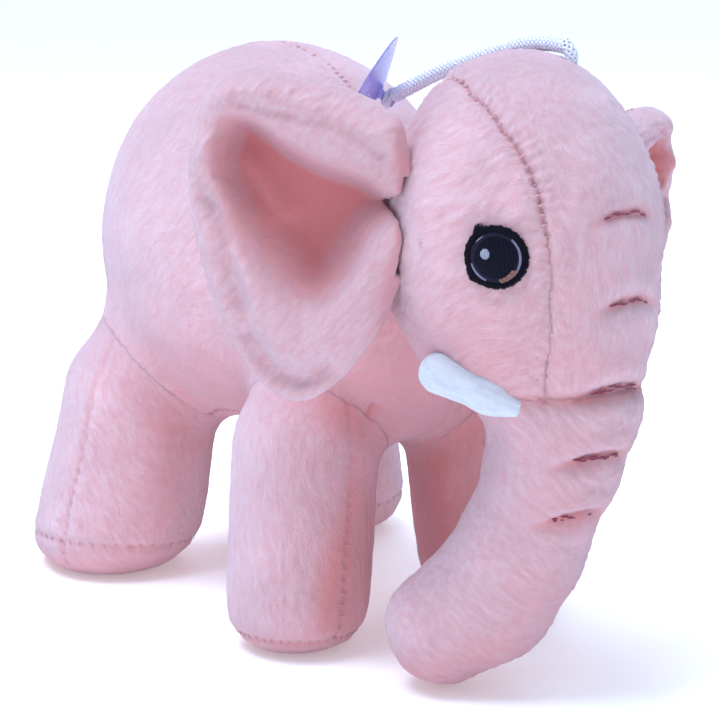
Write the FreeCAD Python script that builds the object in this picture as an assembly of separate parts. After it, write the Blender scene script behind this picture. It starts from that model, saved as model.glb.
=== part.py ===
"""Stuffed elephant: a sewn plush toy with a hanging cord and a suction cup.

The toy faces -Y, its right side is -X, and it stands on its soles at z = 0. Units are millimetres.
Every soft limb is a plush cover over its own stuffing. Where a limb flexes, its end is a ball
centred on the joint, and the piece it sits in has a pocket a little larger than that ball.
"""
import FreeCAD, Part
import math
import os

from FreeCAD import Matrix, Rotation, Vector

# ---- driving dimensions -------------------------------------------------------------------------
COVER = 2.0            # thickness of the plush cover
GAP = 0.7              # clearance round a piece that moves
BIG = 400.0            # size of a cutting block
REACH = 70.0           # length of the space kept free along a moving piece
SWEEP_MARGIN = 1.0     # degrees kept free beyond each end of a joint's travel
SLIVER = 5.0           # volume of a scrap left by a cut, which is dropped

TORSO_AT = Vector(0.0, 48.5, 110.6)
TORSO_HALF = (53.5, 74.7, 66.1)
TORSO_PITCH = 4.2      # the rump sits higher than the shoulders
CHEST_AT = Vector(0.0, -8.0, 99.0)
CHEST_R = 43.0
NECK_PIVOT = Vector(0.0, -46.0, 121.0)
NECK_R = 33.0
NECK_RUN = 40.0        # length of the neck inside the torso
NECK_WAY = Vector(0, 1, -0.35)
BELLY_HALF_WIDTH = 25.0
BELLY_TOP = 78.0

HEAD_AT = Vector(-5.5, -85.0, 131.0)
HEAD_HALF = (35.5, 42.0, 50.3)
HEAD_YAW = 6.0        # the head looks a little to its left
HEAD_TURN = (-12.0, 12.0)
GUSSET_HALF_WIDTH = 23.0
MUZZLE_AT = Vector(-0.5, -101.0, 106.0)
MUZZLE_R = 22.5
MOUTH_AT = Vector(-0.6, -100.5, 87.0)
MOUTH_R = 20.2

TRUNK_PIVOT = Vector(-2.0, -97.3, 69.0)
TRUNK_R = 18.4
TIP_PIVOT = Vector(-6.0, -88.5, 42.0)
TIP_PIVOT_R = 16.7
TIP_BEND = Vector(-10.5, -80.5, 27.0)
TIP_BEND_R = 17.2
TIP_END = Vector(-21.0, -72.5, 18.2)
TIP_END_R = 16.8
TRUNK_SWING = (-5.0, 25.0)
TIP_SWING = (-5.0, 15.0)
CREASES_FACE = (140.0, 117.0, 93.0)  # heights of the thread creases on the face
CREASES_TRUNK = (73.0, 57.0)         # heights of the thread creases on the trunk
CREASE_HALF_WIDTH = 10.0
THREAD = 1.2

LEG_SWING = 6.0
FRONT_HIP = Vector(31.0, -15.0, 60.0)
FRONT_FOOT = Vector(37.3, -18.3, 0.0)
FRONT_R = (22.0, 21.5)             # at the hip, at the foot
REAR_HIP = Vector(34.0, 83.5, 58.0)
REAR_FOOT = Vector(41.6, 88.1, 0.0)
REAR_R = (26.0, 26.8)
SOLE_RISE = (11.5, 15.0)                   # height of the seam round the sole
SOLE_THICK = 2.4
LEG_TOP = (3.0, 0.97)              # the column ends this far above the hip, at this share of its ball

EAR_ROOT = (34.0, 10.0)            # in the head's own directions: sideways, backwards
EAR_HEIGHT = {"right": 131.0, "left": 126.0}
EAR_HALF = {"right": (31.5, 45.0, 19.0), "left": (31.5, 40.0, 19.0)}    # along, upright, depth
EAR_PANEL = 2.2
EAR_SUNK = 4.5                     # how far the ear's ellipsoid reaches into the head's
EAR_CLEAR = 5.2                    # gap between the ear's root and the head or neck
EAR_SWEEP = {"right": 45.0, "left": 22.0}

EYE_R = 8.9
EYE_SIDE = (29.8, -22.4, -1.1)     # in the head's own directions, from the head's centre
EYE_RELIEF = 0.9
EYE_PLUG = 12.0                    # half the length of the plug that cuts the eye out

TUSK_ROOT = (17.2, -15.2, -42.4)   # in the head's own directions, from the head's centre
TUSK_DIR = (0.58, 0.76, 0.36)
TUSK_LENGTH = 20.0
TUSK_SUNK = 2.0                    # how far its root sits in the head
TUSK_R = (4.2, 5.6)
TUSK_COVER = 1.2

TAIL_ROOT = Vector(0.0, 113.6, 146.0)
TAIL_END = Vector(0.0, 122.4, 113.0)
TAIL_R = (3.4, 4.4)

CORD_D = 4.4
CORD_POINTS = [
    Vector(3.4, -93.0, 182.3),
    Vector(2.4, -85.5, 183.2),
    Vector(1.0, -76.5, 182.0),
    Vector(-1.2, -66.5, 179.4),
    Vector(-3.8, -56.0, 176.2),
    Vector(-6.2, -46.0, 172.6),
    Vector(-8.2, -37.4, 168.6),
    Vector(-9.4, -30.2, 165.4),
]
TACK_SIZE = (6.0, 3.2, 6.0)             # sideways, along the cord, upwards
TACK_DROP = 5.0                         # how far it reaches below the cord's centre line
LOOP_R = 3.7                            # the cord's end, wound round the cup's knob
LOOP_MOUTH = (2.2, 7.0, 6.0, 1.2)       # the cone left open for the cup's stem: radii, length, start
CUP_AXIS = Vector(0.64, -0.56, -0.53)   # from the open rim to the knob
CUP_FACE_LINE = Vector(-0.535, 0.156, -0.834)
CUP_R = 16.5
CUP_DEPTH = 4.6
CUP_WALL = 1.1
CUP_LIP = (1.2, 0.7)                    # width and height of the rim
CUP_SHOULDER = (0.55, 0.58)             # shares of the cup's radius and depth
CUP_HUB_R = 3.2
CUP_FLOOR = 1.7                         # thickness at the hub
CUP_STEM_R = 1.3
CUP_KNOB_R = 2.3
CUP_KNOB_AT = 7.6
KNOB_CLEAR = 0.35


# ---- helpers ------------------------------------------------------------------------------------
def ball(at, radius):
    return Part.makeSphere(radius, at)


def ellipsoid(at, half, yaw=0.0, pitch=0.0):
    """A closed ellipsoid, turned about X by pitch, then about Z by yaw."""
    stretch = Matrix(half[0], 0, 0, 0, 0, half[1], 0, 0, 0, 0, half[2], 0)
    scaled = Part.makeSphere(1.0).transformGeometry(stretch)
    scaled.rotate(Vector(0, 0, 0), Vector(1, 0, 0), pitch)
    scaled.rotate(Vector(0, 0, 0), Vector(0, 0, 1), yaw)
    scaled.translate(at)
    return scaled


def limb(start, end, start_r, end_r):
    """A straight tapered run between the centres of two balls, without the balls."""
    run = end - start
    if abs(start_r - end_r) < 1e-6:
        return Part.makeCylinder(start_r, run.Length, start, run)
    return Part.makeCone(start_r, end_r, run.Length, start, run)


def fused(shapes):
    return shapes[0].multiFuse(shapes[1:]) if len(shapes) > 1 else shapes[0]


def cut_all(shape, cutters):
    for cutter in cutters:
        shape = shape.cut(cutter)
    return shape


def turned(shape, pivot, axis, degrees):
    copy = shape.copy()
    copy.rotate(pivot, axis, degrees)
    return copy


def swept(shape, pivot, axis, swing, steps):
    """The shape at several angles of a joint, which together cover the space it moves through."""
    low = swing[0] - SWEEP_MARGIN
    high = swing[1] + SWEEP_MARGIN
    return [turned(shape, pivot, axis, low + (high - low) * i / (steps - 1)) for i in range(steps)]


def block(low, high):
    size = high - low
    return Part.makeBox(size.x, size.y, size.z, low)


def head_point(side, back, rise):
    """A point given in the head's own directions, from the head's centre."""
    offset = Rotation(Vector(0, 0, 1), HEAD_YAW).multVec(Vector(side, back, rise))
    return HEAD_AT + offset


def head_dir(side, back, rise):
    return Rotation(Vector(0, 0, 1), HEAD_YAW).multVec(Vector(side, back, rise))


def solids_only(shape):
    solids = [s for s in shape.Solids if s.Volume > SLIVER]
    return solids[0] if len(solids) == 1 else Part.makeCompound(solids)


def export(shape, node):
    shape = solids_only(shape)
    shape.exportStep("parts/%s.step" % node)
    print("%-28s solids %d  volume %9.1f" % (node, len(shape.Solids), shape.Volume))


# ---- spaces that moving pieces need ---------------------------------------------------------------
HEAD_X = head_dir(1, 0, 0)


def mirrored(point, side):
    return Vector(point.x * side, point.y, point.z)


def leg_space(hip, foot, radii, side):
    pivot = mirrored(hip, side)
    down = mirrored(foot, side) - pivot
    radius = max(radii) + GAP
    column = Part.makeCylinder(radius, REACH, pivot, down)
    pieces = swept(column, pivot, Vector(1, 0, 0), (-LEG_SWING, LEG_SWING), 4)
    return [ball(pivot, radii[0] + GAP)] + pieces


def trunk_space():
    column = Part.makeCylinder(TRUNK_R + GAP, REACH, TRUNK_PIVOT, TIP_PIVOT - TRUNK_PIVOT)
    pieces = swept(column, TRUNK_PIVOT, -HEAD_X, TRUNK_SWING, 6)
    return [ball(TRUNK_PIVOT, TRUNK_R + GAP)] + pieces


def tip_space():
    column = Part.makeCylinder(TIP_BEND_R + GAP, REACH, TIP_PIVOT, TIP_BEND - TIP_PIVOT)
    pieces = swept(column, TIP_PIVOT, -HEAD_X, TIP_SWING, 4)
    return [ball(TIP_PIVOT, TIP_PIVOT_R + GAP)] + pieces


def neck_space():
    column = Part.makeCylinder(NECK_R + GAP, REACH, NECK_PIVOT, Vector(0, 1, 0))
    seen_from_head = (-HEAD_TURN[1], -HEAD_TURN[0])
    pieces = swept(column, NECK_PIVOT, Vector(0, 0, 1), seen_from_head, 5)
    return [ball(NECK_PIVOT, NECK_R + GAP)] + pieces


# ---- torso ----------------------------------------------------------------------------------------
def torso_form(inset):
    half = [h - inset for h in TORSO_HALF]
    neck = Part.makeCylinder(NECK_R - inset, NECK_RUN, NECK_PIVOT, NECK_WAY)
    return fused([
        ellipsoid(TORSO_AT, half, pitch=TORSO_PITCH),
        ball(CHEST_AT, CHEST_R - inset),
        ball(NECK_PIVOT, NECK_R - inset),
        neck,
    ])


def make_torso():
    spaces = []
    for side in (-1, 1):
        spaces += leg_space(FRONT_HIP, FRONT_FOOT, FRONT_R, side)
        spaces += leg_space(REAR_HIP, REAR_FOOT, REAR_R, side)
    outer = torso_form(0.0)
    inner = torso_form(COVER)
    stuffing = cut_all(inner, spaces)
    cover = cut_all(outer.cut(inner), spaces)
    belly_zone = block(Vector(-BELLY_HALF_WIDTH, -BIG, -BIG), Vector(BELLY_HALF_WIDTH, BIG, BELLY_TOP))
    belly = cover.common(belly_zone)
    sides = cover.cut(belly_zone)
    export(stuffing, "torso_stuffing")
    export(belly, "belly_panel")
    export(sides.common(block(Vector(-BIG, -BIG, -BIG), Vector(0, BIG, BIG))), "torso_side_right")
    export(sides.common(block(Vector(0, -BIG, -BIG), Vector(BIG, BIG, BIG))), "torso_side_left")


# ---- head -----------------------------------------------------------------------------------------
def head_form(inset):
    half = [h - inset for h in HEAD_HALF]
    return fused([
        ellipsoid(HEAD_AT, half, yaw=HEAD_YAW),
        ball(MUZZLE_AT, MUZZLE_R - inset),
        limb(MUZZLE_AT, MOUTH_AT, MUZZLE_R - inset, MOUTH_R - inset),
        ball(MOUTH_AT, MOUTH_R - inset),
        limb(MOUTH_AT, TRUNK_PIVOT, MOUTH_R - inset, TRUNK_R - inset),
    ])


def in_head_frame(shape):
    """Turn a shape drawn round the origin into the head's place and direction."""
    shape.rotate(Vector(0, 0, 0), Vector(0, 0, 1), HEAD_YAW)
    shape.translate(HEAD_AT)
    return shape


def tusk_end(side):
    root = head_point(side * TUSK_ROOT[0], TUSK_ROOT[1], TUSK_ROOT[2])
    way = head_dir(side * TUSK_DIR[0], TUSK_DIR[1], TUSK_DIR[2]).normalize()
    return root, root + way * TUSK_LENGTH


def tusk_form(side, inset):
    root, end = tusk_end(side)
    base = root - (end - root).normalize() * TUSK_SUNK
    return fused([limb(base, end, TUSK_R[0] - inset, TUSK_R[1] - inset), ball(end, TUSK_R[1] - inset)])


def make_eye(side, name):
    at = head_point(side * EYE_SIDE[0], EYE_SIDE[1], EYE_SIDE[2])
    slope = [place / half ** 2 for place, half in zip(EYE_SIDE, HEAD_HALF)]
    normal = head_dir(side * slope[0], slope[1], slope[2]).normalize()
    plug = Part.makeCylinder(EYE_R, 2 * EYE_PLUG, at - normal * EYE_PLUG, normal)
    raised = ellipsoid(HEAD_AT, [h + EYE_RELIEF for h in HEAD_HALF], yaw=HEAD_YAW)
    export(plug.common(raised).cut(ellipsoid(HEAD_AT, HEAD_HALF, yaw=HEAD_YAW)), name)


def crease_bars(form, raised, heights, rise_at):
    """Short raised threads across the front of a form, one at each height."""
    bars = []
    for height in heights:
        slab = block(Vector(-CREASE_HALF_WIDTH, -BIG, 0), Vector(CREASE_HALF_WIDTH, 0, THREAD))
        slab.rotate(Vector(0, 0, 0), Vector(0, 0, 1), HEAD_YAW)
        slab.translate(Vector(rise_at.x, rise_at.y, height))
        bars.append(raised.common(slab).cut(form))
    return Part.makeCompound([s for bar in bars for s in bar.Solids])


def make_head():
    spaces = trunk_space() + neck_space()
    outer = head_form(0.0)
    inner = head_form(COVER)
    tusks = [tusk_form(side, 0.0) for side in (-1, 1)]
    stuffing = cut_all(inner, spaces + tusks)
    cover = cut_all(outer.cut(inner), spaces + tusks)
    seam = GUSSET_HALF_WIDTH
    gusset_zone = in_head_frame(block(Vector(-seam, -BIG, -BIG), Vector(seam, BIG, BIG)))
    right_zone = in_head_frame(block(Vector(-BIG, -BIG, -BIG), Vector(-seam, BIG, BIG)))
    left_zone = in_head_frame(block(Vector(seam, -BIG, -BIG), Vector(BIG, BIG, BIG)))
    export(stuffing, "head_stuffing")
    export(cover.common(gusset_zone), "forehead_gusset")
    export(cover.common(right_zone), "head_side_right")
    export(cover.common(left_zone), "head_side_left")
    export(crease_bars(outer, head_form(-THREAD / 2), CREASES_FACE, HEAD_AT), "face_crease_threads")
    for side, name in ((-1, "right"), (1, "left")):
        make_eye(side, "eye_embroidery_" + name)
        core = tusk_form(side, TUSK_COVER)
        export(tusk_form(side, 0.0).cut(core), "tusk_cover_" + name)
        export(core, "tusk_stuffing_" + name)


# ---- ears -----------------------------------------------------------------------------------------
def ear_frame(side, name):
    """The ear's centre, its long direction and the way its cup opens."""
    root = head_point(side * EAR_ROOT[0], EAR_ROOT[1], EAR_HEIGHT[name] - HEAD_AT.z)
    turn = math.radians(EAR_SWEEP[name])
    along = Vector(side * math.cos(turn), math.sin(turn), 0)
    opening = Vector(side * math.sin(turn), -math.cos(turn), 0)
    return root + along * (EAR_HALF[name][0] - EAR_SUNK), along, opening


def ear_form(side, name, inset):
    centre, along, _ = ear_frame(side, name)
    long_half, upright_half, depth = EAR_HALF[name]
    half = (long_half - inset, depth - inset, upright_half - inset)
    yaw = math.degrees(math.atan2(along.y, along.x))
    return ellipsoid(centre, half, yaw=yaw)


def make_ear(side, name):
    centre, along, opening = ear_frame(side, name)
    front = Part.makeBox(BIG, BIG, BIG, Vector(-BIG / 2, -BIG, -BIG / 2))
    front.rotate(Vector(0, 0, 0), Vector(0, 0, 1), math.degrees(math.atan2(opening.y, opening.x)) + 90.0)
    front.translate(centre)
    clear_of_head = fused([
        ellipsoid(HEAD_AT, [h + EAR_CLEAR for h in HEAD_HALF], yaw=HEAD_YAW),
        ball(NECK_PIVOT, NECK_R + EAR_CLEAR),
    ])
    outer = ear_form(side, name, 0.0)
    middle = ear_form(side, name, EAR_PANEL)
    inner = ear_form(side, name, 2 * EAR_PANEL)
    export(outer.cut(middle).cut(front).cut(clear_of_head), "ear_outer_" + name)
    export(middle.cut(inner).cut(front).cut(clear_of_head), "ear_lining_" + name)


# ---- trunk ----------------------------------------------------------------------------------------
def trunk_form(inset):
    return fused([
        ball(TRUNK_PIVOT, TRUNK_R - inset),
        limb(TRUNK_PIVOT, TIP_PIVOT, TRUNK_R - inset, TIP_PIVOT_R - inset),
    ])


def tip_form(inset):
    return fused([
        ball(TIP_PIVOT, TIP_PIVOT_R - inset),
        limb(TIP_PIVOT, TIP_BEND, TIP_PIVOT_R - inset, TIP_BEND_R - inset),
        ball(TIP_BEND, TIP_BEND_R - inset),
        limb(TIP_BEND, TIP_END, TIP_BEND_R - inset, TIP_END_R - inset),
        ball(TIP_END, TIP_END_R - inset),
    ])


def make_trunk():
    space = tip_space()
    outer = trunk_form(0.0)
    inner = trunk_form(COVER)
    export(cut_all(inner, space), "trunk_base_stuffing")
    export(cut_all(outer.cut(inner), space), "trunk_base_cover")
    threads = crease_bars(outer, trunk_form(-THREAD / 2), CREASES_TRUNK, TRUNK_PIVOT)
    export(cut_all(threads, [ball(TIP_PIVOT, TIP_PIVOT_R + GAP)]), "trunk_crease_threads")
    tip_outer = tip_form(0.0)
    tip_inner = tip_form(COVER)
    export(tip_inner, "trunk_tip_stuffing")
    export(tip_outer.cut(tip_inner), "trunk_tip_cover")


# ---- legs -----------------------------------------------------------------------------------------
def circle_wire(at, radius):
    return Part.Wire(Part.makeCircle(radius, at, Vector(0, 0, 1)))


def leg_form(hip, foot, radii, rise, inset):
    """The leg above its sole seam: an oblique column under a ball at the hip."""
    bottom = Vector(foot.x, foot.y, rise)
    top = hip + Vector(0, 0, LEG_TOP[0])
    top_r = (radii[0] - inset) * LEG_TOP[1]
    column = Part.makeLoft([circle_wire(bottom, radii[1] - inset), circle_wire(top, top_r)], True, True)
    return fused([column, ball(hip, radii[0] - inset)])


def sole_form(foot, radius, seam, inset):
    """A dish under the foot: flat in the middle, rounded up to the seam."""
    rim = radius - inset
    rise = seam - inset
    low = seam - rise
    corner = Vector(rim - rise * (1 - math.sqrt(0.5)), 0, seam - rise * math.sqrt(0.5))
    edges = [
        Part.LineSegment(Vector(0, 0, low), Vector(rim - rise, 0, low)).toShape(),
        Part.Arc(Vector(rim - rise, 0, low), corner, Vector(rim, 0, seam)).toShape(),
        Part.LineSegment(Vector(rim, 0, seam), Vector(0, 0, seam)).toShape(),
        Part.LineSegment(Vector(0, 0, seam), Vector(0, 0, low)).toShape(),
    ]
    dish = Part.Face(Part.Wire(edges)).revolve(Vector(0, 0, 0), Vector(0, 0, 1), 360)
    dish.translate(Vector(foot.x, foot.y, 0))
    return dish


def make_leg(hip, foot, radii, seam, side, name):
    hip = mirrored(hip, side)
    foot = mirrored(foot, side)
    outer = leg_form(hip, foot, radii, seam, 0.0)
    inner = leg_form(hip, foot, radii, seam, COVER)
    sole = sole_form(foot, radii[1], seam, 0.0)
    sole_inside = sole_form(foot, radii[1], seam, SOLE_THICK)
    export(outer.cut(inner), "leg_cover_" + name)
    export(fused([inner, sole_inside]).removeSplitter(), "leg_stuffing_" + name)
    export(sole.cut(sole_inside), "sole_" + name)


# ---- tail, cord and suction cup -------------------------------------------------------------------
def make_tail():
    torso = ellipsoid(TORSO_AT, [h + GAP for h in TORSO_HALF], pitch=TORSO_PITCH)
    tail = fused([
        ball(TAIL_ROOT, TAIL_R[0]),
        limb(TAIL_ROOT, TAIL_END, TAIL_R[0], TAIL_R[1]),
        ball(TAIL_END, TAIL_R[1]),
    ])
    export(tail.cut(torso), "tail")


def rounded_route(points):
    """Straight runs joined by tangent arcs, each as large as 0.45 of its shorter run allows."""
    edges = []
    last = points[0]
    for before, corner, after in zip(points, points[1:], points[2:]):
        back = (before - corner)
        ahead = (after - corner)
        reach = 0.45 * min(back.Length, ahead.Length)
        half_turn = (math.pi - back.getAngle(ahead)) / 2
        radius = reach / math.tan(half_turn)
        back.normalize()
        ahead.normalize()
        start = corner + back * reach
        end = corner + ahead * reach
        middle_way = (back + ahead).normalize()
        middle = corner + middle_way * (radius / math.cos(half_turn) - radius)
        edges.append(Part.LineSegment(last, start).toShape())
        edges.append(Part.Arc(start, middle, end).toShape())
        last = end
        print("cord bend radius %.1f" % radius)
    edges.append(Part.LineSegment(last, points[-1]).toShape())
    return Part.Wire(edges)


def make_cord():
    route = rounded_route(CORD_POINTS)
    start = CORD_POINTS[0]
    way = CORD_POINTS[1] - start
    section = Part.Wire(Part.makeCircle(CORD_D / 2, start, way))
    tube = route.makePipeShell([section], True, False)
    print("cord length %.1f, tube volume / (section x length) %.4f"
          % (route.Length, tube.Volume / (math.pi * CORD_D ** 2 / 4 * route.Length)))
    export(tube, "hanging_cord")
    wide, deep, high = TACK_SIZE
    tack = in_tack_place(Part.makeBox(wide, deep, high, Vector(-wide / 2, -deep, -TACK_DROP)), start)
    export(tack.cut(head_form(0.0)), "cord_exit_tack")


def in_tack_place(shape, at):
    """Put a block against the cord's first section, square to the cord."""
    way = (CORD_POINTS[1] - CORD_POINTS[0]).normalize()
    shape.Placement = FreeCAD.Placement(at, Rotation(Vector(0, 1, 0), way))
    return shape


def knob_centre():
    way = (CORD_POINTS[-1] - CORD_POINTS[-2]).normalize()
    return CORD_POINTS[-1] + way * math.sqrt(LOOP_R ** 2 - (CORD_D / 2) ** 2)


def make_cup():
    """The cup is drawn round +Z, from its rim to its knob, and then put in its place."""
    axis = Vector(CUP_AXIS).normalize()
    across = axis.cross(CUP_FACE_LINE).normalize()
    line = across.cross(axis).normalize()
    knob = knob_centre()
    last = CORD_POINTS[-1]
    way = (last - CORD_POINTS[-2]).normalize()
    wrap = ball(knob, LOOP_R).cut(ball(knob, CUP_KNOB_R + KNOB_CLEAR))
    mouth_r, mouth_end_r, mouth_length, mouth_start = LOOP_MOUTH
    wrap = wrap.cut(Part.makeCone(mouth_r, mouth_end_r, mouth_length, knob - axis * mouth_start, -axis))
    wrap = wrap.cut(Part.makeCylinder(CORD_D, LOOP_R * 2, last - way * LOOP_R * 2, way))
    export(wrap, "cord_loop")
    shoulder_r = CUP_R * CUP_SHOULDER[0]
    shoulder = CUP_DEPTH * CUP_SHOULDER[1]
    floor = CUP_DEPTH - CUP_FLOOR
    profile = [
        Vector(CUP_R, 0, 0),
        Vector(CUP_R, 0, CUP_LIP[1]),
        Vector(shoulder_r, 0, shoulder),
        Vector(CUP_HUB_R, 0, CUP_DEPTH),
        Vector(0, 0, CUP_DEPTH),
        Vector(0, 0, floor),
        Vector(CUP_HUB_R, 0, floor),
        Vector(shoulder_r, 0, shoulder - CUP_WALL),
        Vector(CUP_R - CUP_LIP[0], 0, 0),
        Vector(CUP_R, 0, 0),
    ]
    cone = Part.Face(Part.makePolygon(profile)).revolve(Vector(0, 0, 0), Vector(0, 0, 1), 360)
    stem = Part.makeCylinder(CUP_STEM_R, CUP_KNOB_AT - floor, Vector(0, 0, floor))
    cup = fused([cone, stem, ball(Vector(0, 0, CUP_KNOB_AT), CUP_KNOB_R)]).removeSplitter()
    base = knob - axis * CUP_KNOB_AT
    rows = [(line.x, across.x, axis.x, base.x), (line.y, across.y, axis.y, base.y)]
    rows.append((line.z, across.z, axis.z, base.z))
    place = Matrix(*[value for row in rows for value in row])
    cup.transformShape(place)
    export(cup, "suction_cup")
    print("knob centre", knob, "rim centre", base)


os.makedirs("parts", exist_ok=True)
make_torso()
make_head()
make_ear(-1, "right")
make_ear(1, "left")
make_trunk()
for side, name in ((-1, "right"), (1, "left")):
    make_leg(FRONT_HIP, FRONT_FOOT, FRONT_R, SOLE_RISE[0], side, "front_" + name)
    make_leg(REAR_HIP, REAR_FOOT, REAR_R, SOLE_RISE[1], side, "rear_" + name)
make_tail()
make_cord()
make_cup()
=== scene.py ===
import math

import bpy
import numpy as np
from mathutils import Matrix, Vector


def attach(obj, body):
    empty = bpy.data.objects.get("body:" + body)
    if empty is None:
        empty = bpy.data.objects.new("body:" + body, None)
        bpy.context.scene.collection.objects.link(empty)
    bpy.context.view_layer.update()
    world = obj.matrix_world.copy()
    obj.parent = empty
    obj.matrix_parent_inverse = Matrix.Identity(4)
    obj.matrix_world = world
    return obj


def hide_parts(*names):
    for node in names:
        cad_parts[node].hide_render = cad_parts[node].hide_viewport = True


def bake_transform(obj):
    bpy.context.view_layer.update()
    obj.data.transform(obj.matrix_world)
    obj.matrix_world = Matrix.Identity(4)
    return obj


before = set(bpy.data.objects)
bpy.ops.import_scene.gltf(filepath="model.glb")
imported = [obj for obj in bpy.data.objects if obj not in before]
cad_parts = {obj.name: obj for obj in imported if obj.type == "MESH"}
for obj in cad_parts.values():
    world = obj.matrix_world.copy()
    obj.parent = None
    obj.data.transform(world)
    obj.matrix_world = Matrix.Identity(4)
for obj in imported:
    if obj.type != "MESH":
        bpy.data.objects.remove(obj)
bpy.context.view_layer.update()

# Lengths are in millimetres until a mesh is made, and then in metres.
MM = 0.001

# ---- camera ------------------------------------------------------------------------------------------
CAMERA_AZ = math.radians(-33.6)
CAMERA_EL = math.radians(11.4)
CAMERA_DISTANCE = 0.7168
CAMERA_TARGET = Vector((0.01066, 0.01842, 0.0764))
CAMERA_LENS = 111.4

# ---- the toy's main sizes, the same as the CAD's -----------------------------------------------------
TORSO_AT = np.array([0.0, 48.5, 110.6])
TORSO_HALF = np.array([53.5, 74.7, 66.1])
TORSO_PITCH = 4.2
BELLY_TOP = 86.0             # the belly is flatter below this height
BELLY_TUCK = 0.30
CHEST_AT = np.array([0.0, -8.0, 99.0])
CHEST_R = 42.0
NECK_AT = np.array([0.0, -46.0, 121.0])
NECK_R = 32.0
CHEST_FLOW = 16.0            # how softly the chest runs into the torso

HEAD_AT = np.array([-5.5, -85.0, 131.0])
HEAD_HALF = np.array([35.5, 42.0, 50.3])
HEAD_YAW = 6.0
FACE = [(np.array([-0.5, -101.0, 106.0]), 22.5), (np.array([-0.6, -100.5, 87.0]), 20.2)]
TRUNK = [
    (np.array([-2.0, -97.3, 69.0]), 18.4),
    (np.array([-6.0, -88.5, 42.0]), 16.7),
    (np.array([-10.5, -80.5, 27.0]), 17.2),
    (np.array([-21.0, -72.5, 18.2]), 16.8),
]
FRONT_HIP = np.array([31.0, -15.0, 60.0])
FRONT_FOOT = np.array([37.3, -18.3, 0.0])
FRONT_R = (22.0, 21.5)
REAR_HIP = np.array([34.5, 83.0, 58.0])
REAR_FOOT = np.array([44.0, 89.8, 0.0])
REAR_R = (26.0, 26.8)
LEG_FLOW = {"front": 11.0, "rear": 19.0}     # how softly the legs run into the torso
CALF_BULGE = 1.2
FOOT_CORNER = 17.0           # how round a sole's edge is
HEEL_CORNER = 6.0            # and at the heel of a rear foot
FACE_FLOW = 6.0
SKULL_FLOW = 9.0
TRUNK_FLOW = 7.0
NECK_FLOW = 4.0              # where the trunk meets the face and the head meets the torso
TRUNK_AXIS = (TRUNK[1][0] - TRUNK[0][0]) / np.linalg.norm(TRUNK[1][0] - TRUNK[0][0])


def unit_rows(v):
    return v / np.maximum(np.linalg.norm(v, axis=-1), 1e-9)[:, None]


def rotation(yaw, pitch=0.0):
    """A matrix that turns about X by pitch and then about Z by yaw, in degrees."""
    a, b = math.radians(yaw), math.radians(pitch)
    about_z = np.array([[math.cos(a), -math.sin(a), 0], [math.sin(a), math.cos(a), 0], [0, 0, 1]])
    about_x = np.array([[1, 0, 0], [0, math.cos(b), -math.sin(b)], [0, math.sin(b), math.cos(b)]])
    return about_z @ about_x


HEAD_TURNED = rotation(HEAD_YAW)


# ---- soft forms as distance fields -------------------------------------------------------------------
def ellipsoid(p, at, half, turn):
    q = (p - at) @ turn
    k0 = np.linalg.norm(q / half, axis=-1)
    k1 = np.linalg.norm(q / half ** 2, axis=-1)
    return k0 * (k0 - 1) / np.maximum(k1, 1e-9)


def taper(p, a, b, ra, rb):
    """A run between two balls of different sizes."""
    run = b - a
    t = np.clip((p - a) @ run / (run @ run), 0, 1)
    return np.linalg.norm(p - a - t[..., None] * run, axis=-1) - (ra + (rb - ra) * t)


def chain(p, balls, soft):
    found = None
    for (a, ra), (b, rb) in zip(balls, balls[1:]):
        piece = taper(p, a, b, ra, rb)
        found = piece if found is None else soft_min(found, piece, soft)
    return found


def soft_min(a, b, k):
    h = np.clip(k - np.abs(a - b), 0, None) / k
    return np.minimum(a, b) - h * h * k * 0.25


def soft_max(a, b, k):
    return -soft_min(-a, -b, k)


def smooth_step(x, low, high):
    t = np.clip((x - low) / (high - low), 0, 1)
    return t * t * (3 - 2 * t)


def torso_field(p):
    below = np.minimum(p[..., 2:] - BELLY_TOP, 0.0) * np.array([0.0, 0.0, BELLY_TUCK])
    trunk_of_body = ellipsoid(p + below, TORSO_AT, TORSO_HALF, rotation(0.0, TORSO_PITCH))
    chest = taper(p, CHEST_AT, NECK_AT, CHEST_R, NECK_R)
    return soft_min(trunk_of_body, chest, CHEST_FLOW)


def mirrored(point, side):
    return point * np.array([side, 1, 1])


LEGS = {
    "front_right": (mirrored(FRONT_HIP, -1), mirrored(FRONT_FOOT, -1), FRONT_R, -1),
    "front_left": (FRONT_HIP, FRONT_FOOT, FRONT_R, 1),
    "rear_right": (mirrored(REAR_HIP, -1), mirrored(REAR_FOOT, -1), REAR_R, -1),
    "rear_left": (REAR_HIP, REAR_FOOT, REAR_R, 1),
}


def leg_angle(p, name):
    """The bearing round the leg's own axis: 0 to the front, 90 outwards, 180 to the back."""
    hip, foot, _, side = LEGS[name]
    t = (p[..., 2] - foot[2]) / (hip[2] - foot[2])
    middle_x = foot[0] + (hip[0] - foot[0]) * t
    middle_y = foot[1] + (hip[1] - foot[1]) * t
    return np.degrees(np.arctan2((p[..., 0] - middle_x) * side, -(p[..., 1] - middle_y)))


def leg_field(p, name):
    hip, foot, radii, _ = LEGS[name]
    below = foot + (foot - hip) * 0.4
    column = taper(p, hip, below, radii[0], radii[1] + (radii[1] - radii[0]) * 0.4)
    if name.startswith("rear"):
        calf = foot + (hip - foot) * 0.36
        bulge = np.exp(-((p[..., 2] - calf[2]) / 16.0) ** 2)
        column = column - CALF_BULGE * bulge
        away = (1 - np.cos(np.radians(leg_angle(p, name) - 20))) / 2
        corner = FOOT_CORNER + (HEEL_CORNER - FOOT_CORNER) * smooth_step(away, 0.45, 0.95)
    else:
        corner = FOOT_CORNER
    return soft_max(column, -p[..., 2], corner)


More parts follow.
